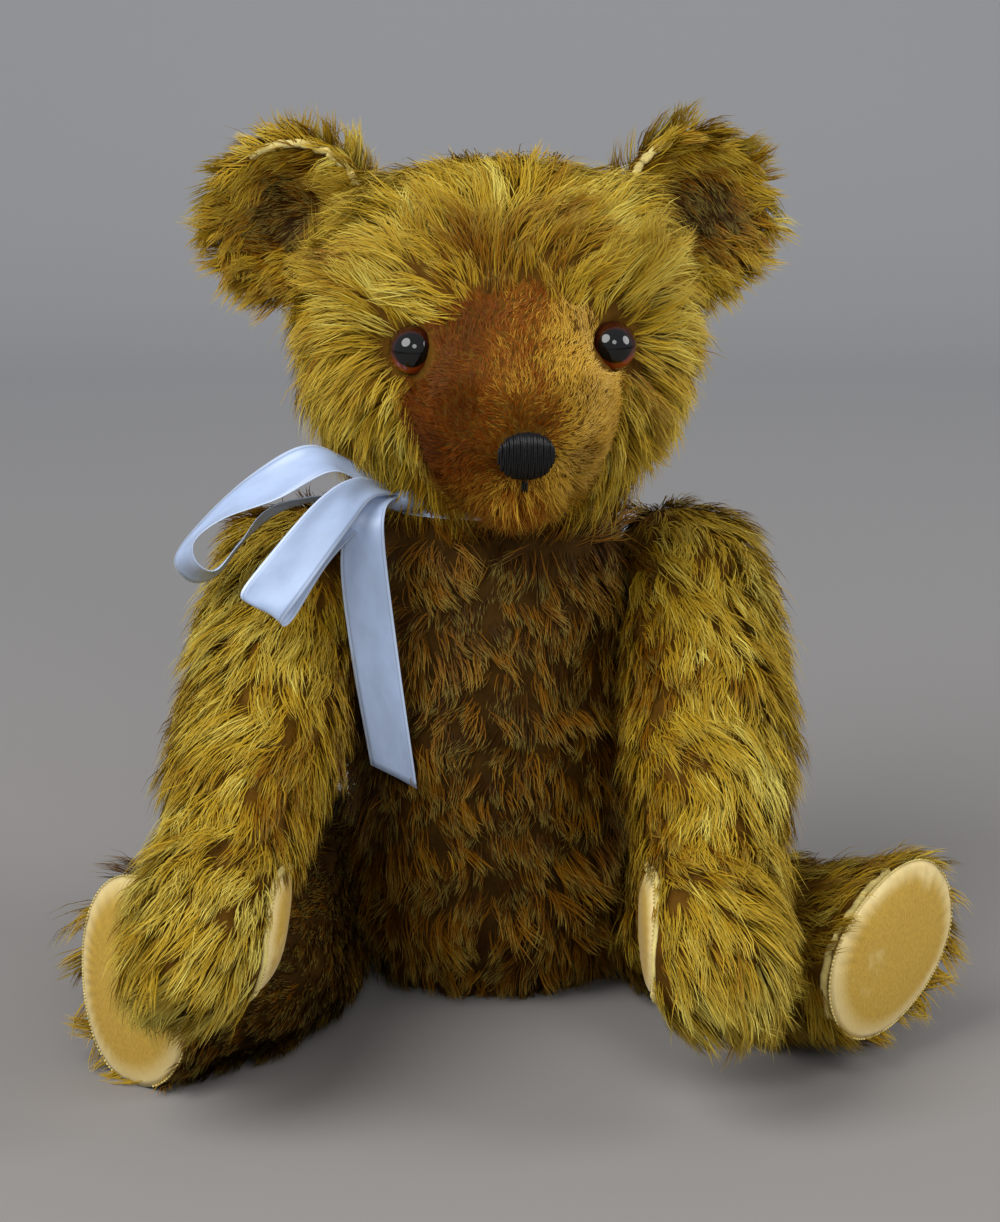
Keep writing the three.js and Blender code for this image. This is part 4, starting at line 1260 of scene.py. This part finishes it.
def oval_cushion(name, place, rings, around):
    """A closed oval pad from place(out, angle), which gives each point of its face, and a flat back.
    A rim value, 0 in the middle and 1 at the edge, is kept on it for its material."""
    angles = np.linspace(0, 2 * math.pi, around, endpoint=False)
    points, rim = [place(0.0, 0.0, 1.0)], [0.0]
    for k in range(1, rings + 1):
        out = k / rings
        points += [place(out, a, 1.0) for a in angles]
        rim += [out] * around
    points += [place(0.97, a, -1.0) for a in angles] + [place(0.0, 0.0, -1.0)]
    rim += [1.0] * (around + 1)
    faces = []
    for k in range(around):
        after = (k + 1) % around
        faces.append((0, 1 + k, 1 + after))
        for ring in range(rings):
            low, high = 1 + ring * around, 1 + (ring + 1) * around
            faces.append((low + k, high + k, high + after, low + after))
        last = 1 + rings * around
        faces.append((len(points) - 1, last + after, last + k))
    piece = mesh_piece(name, [p * MM for p in points], faces)
    layer = piece.data.attributes.new("rim", "FLOAT", "POINT")
    layer.data.foreach_set("value", rim)
    face_outward(piece)
    return piece


def add_sole(scene, leg, middle, normal, long, wide, size):
    """The flat velvet sole, gently domed, puckered where its edge is gathered into the seam."""
    cloth = scene.bear_cloth

    def outline(angle):
        return (abs(math.cos(angle) / size[0]) ** 2.2 + abs(math.sin(angle) / size[1]) ** 2.2) ** (-1 / 2.2)

    def place(out, angle, face):
        dome = 3.2 * (1 - out ** 2.6) + 1.6 * (1 - out ** 14)
        gather = ramp(out, 0.55, 0.88) * (0.5 + 0.5 * math.sin(angle * 34 + math.sin(angle * 5)))
        gather *= 0.25 + 0.75 * (math.sin(angle + 0.4) > 0)
        height = dome - 0.75 * gather * (1 - out ** 12) if face > 0 else -1.2
        point = middle + outline(angle) * out * (math.cos(angle) * long + math.sin(angle) * wide)
        point = point + normal * height
        point[2] = max(point[2], 0.3)
        return point

    sole = oval_cushion(f"{leg}_velvet_sole", place, 16, 136)
    finish_piece(sole, leg, velvet_material(cloth))
    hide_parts(f"{leg}_sole")
    around = np.linspace(0, 2 * math.pi, 150, endpoint=False)
    stitches = []
    for angle in around:
        edge = place(1.0, angle, 1.0)
        if edge[2] < 2:
            continue
        run = unit(place(1.0, angle + 0.02, 1.0) - place(1.0, angle - 0.02, 1.0))
        stitches.append((edge + normal * 0.2, run, normal))
    add_stitches(f"{leg}_sole_stitches", stitches, (0.85, 0.5, 0.55), leg, bare_material(cloth))
    if leg == "left_leg":
        route = [middle + (outline(a) + 1.6) * (math.cos(a) * long + math.sin(a) * wide) - normal * 1.2
                 for a in np.linspace(1.0, 3.3, 60)]
        tape = seam_tape(f"{leg}_sole_seam", route, bpy.data.objects[f"{leg}_body"], 3.2)
        finish_piece(tape, leg, bare_material(cloth))


def add_palm(scene, arm, rule, skin):
    """The velvet palm let into the inner side of a paw, with its pale bare seam round it."""
    cloth = scene.bear_cloth
    centre, inward, long, wide = rule.pad_frame()

    def on_paw(out, angle):
        aim = centre + out * (math.cos(angle) * PAD_SIZE[0] * long + math.sin(angle) * PAD_SIZE[1] * wide)
        hit, where, normal, _ = skin.ray_cast(Vector(aim + inward * 60) * MM, Vector(-inward))
        if not hit or np.array(where)[0] / MM * inward[0] < aim[0] * inward[0]:
            place, direction = nearest_on(skin, aim + inward * 4)
        else:
            place, direction = np.array(where) / MM, np.array(normal)
        return place, direction

    def place(out, angle, face):
        point, normal = on_paw(out, angle)
        height = 2.4 * (1 - out ** 3) + 0.9 * (1 - out ** 12) + 0.1 if face > 0 else -1.5
        gather = ramp(out, 0.6, 0.9) * (0.5 + 0.5 * math.sin(angle * 26))
        return point + normal * (height - 0.35 * gather * (1 - out ** 12) * (face > 0))

    pad = oval_cushion(f"{arm}_velvet_palm", place, 12, 104)
    finish_piece(pad, arm, velvet_material(cloth))
    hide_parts(f"{arm}_palm_pad")
    angles = np.linspace(0, 2 * math.pi, 73)
    tape = seam_tape(f"{arm}_palm_seam", [on_paw(1.08, a)[0] for a in angles], skin, 2.8)
    finish_piece(tape, arm, bare_material(cloth))
    stitches = []
    for angle in np.linspace(0, 2 * math.pi, 84, endpoint=False):
        here, normal = on_paw(1.02, angle)
        run = unit(on_paw(1.02, angle + 0.05)[0] - on_paw(1.02, angle - 0.05)[0])
        stitches.append((here + normal * 0.9, unit(np.cross(run, normal) + 0.4 * run), normal))
    add_stitches(f"{arm}_palm_stitches", stitches, (1.0, 0.4, 0.4), arm, bare_material(cloth))


class BEAR_OT_eyes(bpy.types.Operator):
    """Adds two glass eyes that look forward and a little up"""
    bl_idname = "bear.eyes"
    bl_label = "Eyes"

    def execute(self, context):
        scene = context.scene
        eyes = scene.bear_eyes
        for name, side in (("right_eye", -1), ("left_eye", 1)):
            centre = middle_of(name)
            facing = Vector((side * 0.1 + 0.02, -1.0, 0.16)).normalized()
            deselect()
            bpy.ops.mesh.primitive_uv_sphere_add(
                segments=56, ring_count=36, radius=eyes.radius, location=Vector(centre) * MM,
                rotation=facing.to_track_quat("Z", "Y").to_euler(),
            )
            eye = bpy.context.active_object
            eye.name = f"{name}_glass"
            bpy.ops.object.transform_apply(location=True, rotation=True, scale=True)
            polar, low = [], []
            for vert in eye.data.vertices:
                out = (vert.co - Vector(centre) * MM) / eyes.radius
                angle = out.angle(facing)
                polar.append(angle)
                low.append(-out.z)
                vert.co += out * eyes.radius * 0.05 * max(0.0, math.cos(angle)) ** 3
            for label, values in (("polar", polar), ("low", low)):
                layer = eye.data.attributes.new(label, "FLOAT", "POINT")
                layer.data.foreach_set("value", values)
            eye.data.shade_smooth()
            finish_piece(eye, "head", eye_material(eyes))
            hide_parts(name)
        return {"FINISHED"}


class BEAR_OT_nose(bpy.types.Operator):
    """Adds the nose: upright black threads laid side by side over a padded mound"""
    bl_idname = "bear.nose"
    bl_label = "Nose"

    def execute(self, context):
        scene = context.scene
        centre = middle_of("nose_stitching") + head_direction(math.radians(4)) * 1.0
        out = head_direction(math.radians(20))
        side = unit(np.cross((0, 0, 1.0), -out))
        up = np.cross(-out, side) * -1
        up = up * (1 if up[2] > 0 else -1)
        half_wide, half_high, deep = 12.2, 11.6, 6.0

        def mound(x, z, lift):
            out_x, out_z = abs(x / half_wide) ** NOSE_CORNERS, abs(z / half_high) ** NOSE_CORNERS
            bulge = max(0.0, 1 - out_x - out_z) ** 0.5
            return centre + side * x + up * z + out * (deep * bulge - 1.5 + lift)

        tubes = []
        count = 27
        for k in range(count):
            x = (k / (count - 1) * 2 - 1) * (half_wide - 0.5)
            reach = half_high * (1 - abs(x / half_wide) ** NOSE_CORNERS) ** (1 / NOSE_CORNERS)
            wander = 0.18 * math.sin(k * 2.3)
            steps = [mound(x + wander * math.sin(t * 2), t * reach, 0.15 * math.sin(k * 5.1))
                     for t in np.linspace(-1, 1, 13)]
            tubes.append((steps, 0.56))
        for k in (-1, 0, 1):
            steps = [mound(k * 0.9, -half_high - 0.5 - t, 0.6) for t in (0.0, 2.0, 4.0, 6.0)]
            tubes.append((steps, 0.5))
        threads = tube_piece("nose_threads", tubes, side)
        finish_piece(threads, "head", thread_material(scene.bear_cloth))
        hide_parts("nose_stitching")
        deselect()
        bpy.ops.mesh.primitive_uv_sphere_add(segments=28, ring_count=18, radius=1)
        pad = bpy.context.active_object
        pad.name = "nose_mound"
        for vert in pad.data.vertices:
            x, y, z = vert.co
            square = (abs(x) ** NOSE_CORNERS + abs(z) ** NOSE_CORNERS) ** (1 / NOSE_CORNERS)
            round_off = math.hypot(x, z) / square if square > 1e-6 else 1
            vert.co = Vector((centre + side * x * round_off * (half_wide - 0.7)
                              + up * z * round_off * (half_high - 0.7)
                              + out * (y * (deep - 0.6) - 1.5))) * MM
        pad.data.shade_smooth()
        face_outward(pad)
        finish_piece(pad, "head", thread_material(scene.bear_cloth))
        return {"FINISHED"}


def tube_piece(name, tubes, side):
    """Round threads, each from a list of places and a radius, closed at both ends."""
    points, faces = [], []
    sides = 6
    for steps, radius in tubes:
        start = len(points)
        steps = np.array(steps)
        for k, step in enumerate(steps):
            run = unit(steps[min(k + 1, len(steps) - 1)] - steps[max(k - 1, 0)])
            a = unit(side - side @ run * run)
            b = np.cross(run, a)
            size = radius * (0.55 if k in (0, len(steps) - 1) else 1.0)
            points += [(step + size * (math.cos(t) * a + math.sin(t) * b)) * MM
                       for t in np.linspace(0, 2 * math.pi, sides, endpoint=False)]
        for k in range(len(steps) - 1):
            for j in range(sides):
                low, after = start + k * sides, (j + 1) % sides
                faces.append((low + j, low + after, low + sides + after, low + sides + j))
        faces.append(tuple(start + j for j in reversed(range(sides))))
        faces.append(tuple(start + (len(steps) - 1) * sides + j for j in range(sides)))
    piece = mesh_piece(name, points, faces)
    face_outward(piece)
    return piece


# The bow, as both edges of each stretch of ribbon, outward from the knot. Millimetres.
UPPER_LOOP = (
    ((-46, -38, 248), (-62, -44, 259), (-82, -49, 267), (-106, -50, 254), (-129, -52, 233),
     (-141, -54, 216), (-134, -52, 205), (-122, -50, 208), (-107, -48, 226), (-87, -48, 239),
     (-48, -38, 244)),
    ((-45, -43, 245), (-57, -56, 252), (-70, -63, 258), (-93, -68, 247), (-117, -72, 239),
     (-130, -73, 229), (-129, -72, 219), (-121, -70, 215), (-111, -66, 226), (-94, -62, 243),
     (-48, -44, 246)),
)
LOWER_LOOP = (
    ((-46, -42, 248), (-60, -62, 255), (-76, -78, 248), (-101, -96, 222), (-108, -101, 212),
     (-103, -95, 210), (-86, -80, 230), (-46, -44, 246)),
    ((-42, -46, 244), (-52, -64, 246), (-61, -79, 237), (-81, -96, 212), (-90, -101, 200),
     (-86, -95, 199), (-69, -80, 223), (-43, -45, 243)),
)
TAIL = (
    ((-47, -42, 244), (-60, -62, 242), (-66, -69, 220), (-62, -65, 174), (-54, -61, 122)),
    ((-40, -44, 243), (-46, -63, 241), (-46, -69, 222), (-40, -64, 166), (-33, -60, 110)),
)
KNOT = ((-39, -35, 242), (12, 10, 8))
COLLAR = {"rise": 245, "drop": 231, "top": (44, 37.5), "bottom": (56.5, 47.5), "back": -1}


def smooth_line(points, count):
    """count places along a smooth curve through a few points."""
    p = np.array(points, float)
    p = np.vstack([2 * p[0] - p[1], p, 2 * p[-1] - p[-2]])
    out = []
    for t in np.linspace(0, len(points) - 1 - 1e-9, count):
        k = int(t)
        f = t - k
        a, b, c, d = p[k:k + 4]
        out.append(0.5 * (2 * b + (c - a) * f + (2 * a - 5 * b + 4 * c - d) * f ** 2
                          + (3 * b - a - 3 * c + d) * f ** 3))
    return np.array(out)


def ribbon_grid(edges, count, across=9, crown=0.9):
    """A grid of places over a stretch of ribbon, crowned along its middle."""
    first, second = smooth_line(edges[0], count), smooth_line(edges[1], count)
    run = np.gradient((first + second) / 2, axis=0)
    out = unit(np.cross(second - first, run))
    grid = []
    for k in range(count):
        ripple = 0.5 * math.sin(k * 0.31)
        for j in range(across):
            t = j / (across - 1)
            rise = crown * math.sin(math.pi * t) + ripple * math.sin(2 * math.pi * t)
            grid.append(first[k] * (1 - t) + second[k] * t + out[k] * rise)
    return np.array(grid).reshape(count, across, 3)


def cloth_piece(name, grids, thickness):
    """Grids of places joined into one piece of ribbon, with its map across and along in metres."""
    points, faces, chart = [], [], []
    for grid in grids:
        rows, across = grid.shape[:2]
        start = len(points)
        middle = grid.mean(1)
        far = np.concatenate([[0], np.cumsum(np.linalg.norm(np.diff(middle, axis=0), axis=1))]) * MM
        points += [p * MM for p in grid.reshape(-1, 3)]
        chart += [(j / (across - 1), far[k]) for k in range(rows) for j in range(across)]
        for k in range(rows - 1):
            for j in range(across - 1):
                low = start + k * across + j
                faces.append((low, low + 1, low + across + 1, low + across))
    piece = mesh_piece(name, points, faces)
    layer = piece.data.uv_layers.new(name="UVMap")
    for loop in piece.data.loops:
        layer.uv[loop.index].vector = chart[loop.vertex_index]
    area = sum(face.area for face in piece.data.polygons)
    apply_modifier(piece, "SOLIDIFY", thickness=thickness, offset=0)
    return piece, area


class BEAR_OT_ribbon(bpy.types.Operator):
    """Adds the satin ribbon: the turn round the neck with its knot and tail, and the two loops"""
    bl_idname = "bear.ribbon"
    bl_label = "Ribbon"

    def execute(self, context):
        scene = context.scene
        ribbon = scene.bear_ribbon
        turns = np.linspace(0, 2 * math.pi, 97)
        top, bottom = np.array(COLLAR["top"]), np.array(COLLAR["bottom"])
        collar = np.array([[
            (a * math.cos(t), COLLAR["back"] + b * math.sin(t), z)
            for a, b, z in [
                (*(top + (bottom - top) * s + 0.5), COLLAR["rise"] + (COLLAR["drop"] - COLLAR["rise"]) * s)
                for s in np.linspace(0.3, 0.9, 7)
            ]
        ] for t in turns])
        centre, radii = KNOT
        knot = np.array([[
            np.array(centre) + np.array(radii) * (
                math.sin(p) * math.cos(t), math.sin(p) * math.sin(t), math.cos(p)
            ) * (1 + 0.06 * math.sin(5 * t + 2 * p))
            for p in np.linspace(0.25, math.pi - 0.25, 9)
        ] for t in np.linspace(0, 2 * math.pi, 33)])
        satin = satin_material(ribbon)
        tied, area = cloth_piece("neck_ribbon_tied", [collar, knot, ribbon_grid(TAIL, 60)], ribbon.thickness)
        finish_piece(tied, "torso", satin)
        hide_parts("neck_ribbon")
        loops, area = cloth_piece("neck_ribbon_loops",
                                  [ribbon_grid(UPPER_LOOP, 110), ribbon_grid(LOWER_LOOP, 90)],
                                  ribbon.thickness)
        finish_piece(loops, "torso", satin)
        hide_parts("neck_ribbon")
        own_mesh(loops)
        return {"FINISHED"}


class BEAR_OT_hardware(bpy.types.Operator):
    """Gives the stuffing, discs, washers and split pins inside the bear their finishes"""
    bl_idname = "bear.hardware"
    bl_label = "Joint hardware"

    def execute(self, context):
        board = cloth_material("Fibreboard", srgb(120, 82, 50), srgb(160, 118, 78), patch=300.0, nap=2500.0)
        wool = cloth_material("Wood wool", srgb(176, 146, 92), srgb(214, 190, 136), patch=160.0, nap=900.0,
                              strength=0.7, distance=0.001)
        for name, node in frame["nodes"].items():
            for mark, material in (("_disc", board), ("_washer", steel_material()),
                                   ("_pin", steel_material()), ("_stuffing", wool)):
                if name.endswith(mark):
                    node.material_slots[0].material = material
        return {"FINISHED"}


class BEAR_OT_stage(bpy.types.Operator):
    """Adds the floor and backdrop, with painted light running from the darker floor to the lighter backdrop,
    soft studio light and the camera
    """
    bl_idname = "bear.stage"
    bl_label = "Stage"

    def execute(self, context):
        scene = context.scene
        stage = scene.bear_stage
        bend = [(1.5 + math.sin(a), 1.0 - math.cos(a)) for a in np.linspace(0, math.pi / 2, 25)]
        profile = [(-4.0, 0.0), *bend, (2.5, 3.4)]
        points = [(x, y, z) for y, z in profile for x in (-5.0, 5.0)]
        faces = [(2 * k, 2 * k + 1, 2 * k + 3, 2 * k + 2) for k in range(len(profile) - 1)]
        sweep = mesh_piece("studio_sweep", points, faces)
        material, nodes, shader = new_material("Studio paper", Roughness=0.9, Specular_IOR_Level=0.1)
        grain = nodes.noise(nodes.object_place(), 3.0, 2.0)
        far = nodes.add("ShaderNodeSeparateXYZ", {"Vector": nodes.object_place()}).outputs[1]
        # Painted light: darker on the floor near the bear, lighter up the backdrop.
        painted_light_paper = nodes.blend(nodes.range(far, -0.3, 2.1), tuple(stage.floor), tuple(stage.backdrop))
        nodes.join(nodes.blend(nodes.math("MULTIPLY", grain, 0.06), painted_light_paper, (0.3, 0.3, 0.3)),
                   shader["Base Color"])
        sweep.data.materials.append(material)
        target = Vector((4.5, -50, 191)) * MM
        for name, place, size, power in (
            ("key_softbox", (-0.95, -0.95, 1.5), 1.3, 32), ("fill_softbox", (1.55, -0.35, 1.0), 1.0, 17),
            ("front_softbox", (0.35, -2.2, 1.5), 0.9, 12),
        ):
            lamp = bpy.data.lights.new(name, "AREA")
            lamp.shape, lamp.energy, lamp.size = "DISK", power, size
            light = bpy.data.objects.new(name, lamp)
            scene.collection.objects.link(light)
            light.location = place
            light.rotation_euler = (target - Vector(place)).to_track_quat("-Z", "Y").to_euler()
        world = bpy.data.worlds.new("Studio")
        scene.world = world
        world.use_nodes = True
        world.node_tree.nodes["Background"].inputs["Color"].default_value = (0.92, 0.95, 1.0, 1)
        world.node_tree.nodes["Background"].inputs["Strength"].default_value = 0.4
        scene.view_settings.view_transform = "Standard"
        lens = bpy.data.cameras.new("camera")
        lens.lens = 18 / (0.611 * 300 / 1000)
        camera = bpy.data.objects.new("camera", lens)
        scene.collection.objects.link(camera)
        away = Vector((0, -math.cos(stage.elevation), math.sin(stage.elevation)))
        camera.location = target + away * stage.distance
        camera.rotation_euler = (-away).to_track_quat("-Z", "Y").to_euler()
        scene.camera = camera
        return {"FINISHED"}


class BEAR_PT_panel(bpy.types.Panel):
    """Lists the bear's pieces and sizes"""
    bl_idname = "BEAR_PT_panel"
    bl_label = "Jointed mohair bear"
    bl_space_type = "VIEW_3D"
    bl_region_type = "UI"
    bl_category = "Bear"

    def draw(self, context):
        for operator in OPERATORS:
            self.layout.operator(operator.bl_idname)
        for group in GROUPS:
            box = self.layout.box()
            for name in GROUPS[group].__annotations__:
                box.prop(getattr(context.scene, group), name)


OPERATORS = (BEAR_OT_torso, BEAR_OT_arms, BEAR_OT_legs, BEAR_OT_head, BEAR_OT_ears, BEAR_OT_eyes,
             BEAR_OT_nose, BEAR_OT_ribbon, BEAR_OT_hardware, BEAR_OT_stage)
GROUPS = {"bear_fur": BearFur, "bear_cloth": BearCloth, "bear_ribbon": BearRibbon,
          "bear_eyes": BearEyes, "bear_stage": BearStage}


def register():
    for kind in (*GROUPS.values(), *OPERATORS, BEAR_PT_panel):
        bpy.utils.register_class(kind)
    for name, kind in GROUPS.items():
        setattr(bpy.types.Scene, name, PointerProperty(type=kind))


def unregister():
    for name in GROUPS:
        delattr(bpy.types.Scene, name)
    for kind in (BEAR_PT_panel, *reversed(OPERATORS), *GROUPS.values()):
        bpy.utils.unregister_class(kind)


def main():
    register()
    for operator in OPERATORS:
        getattr(bpy.ops.bear, operator.bl_idname.split(".")[1])()
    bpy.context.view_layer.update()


if __name__ == "__main__":
    main()
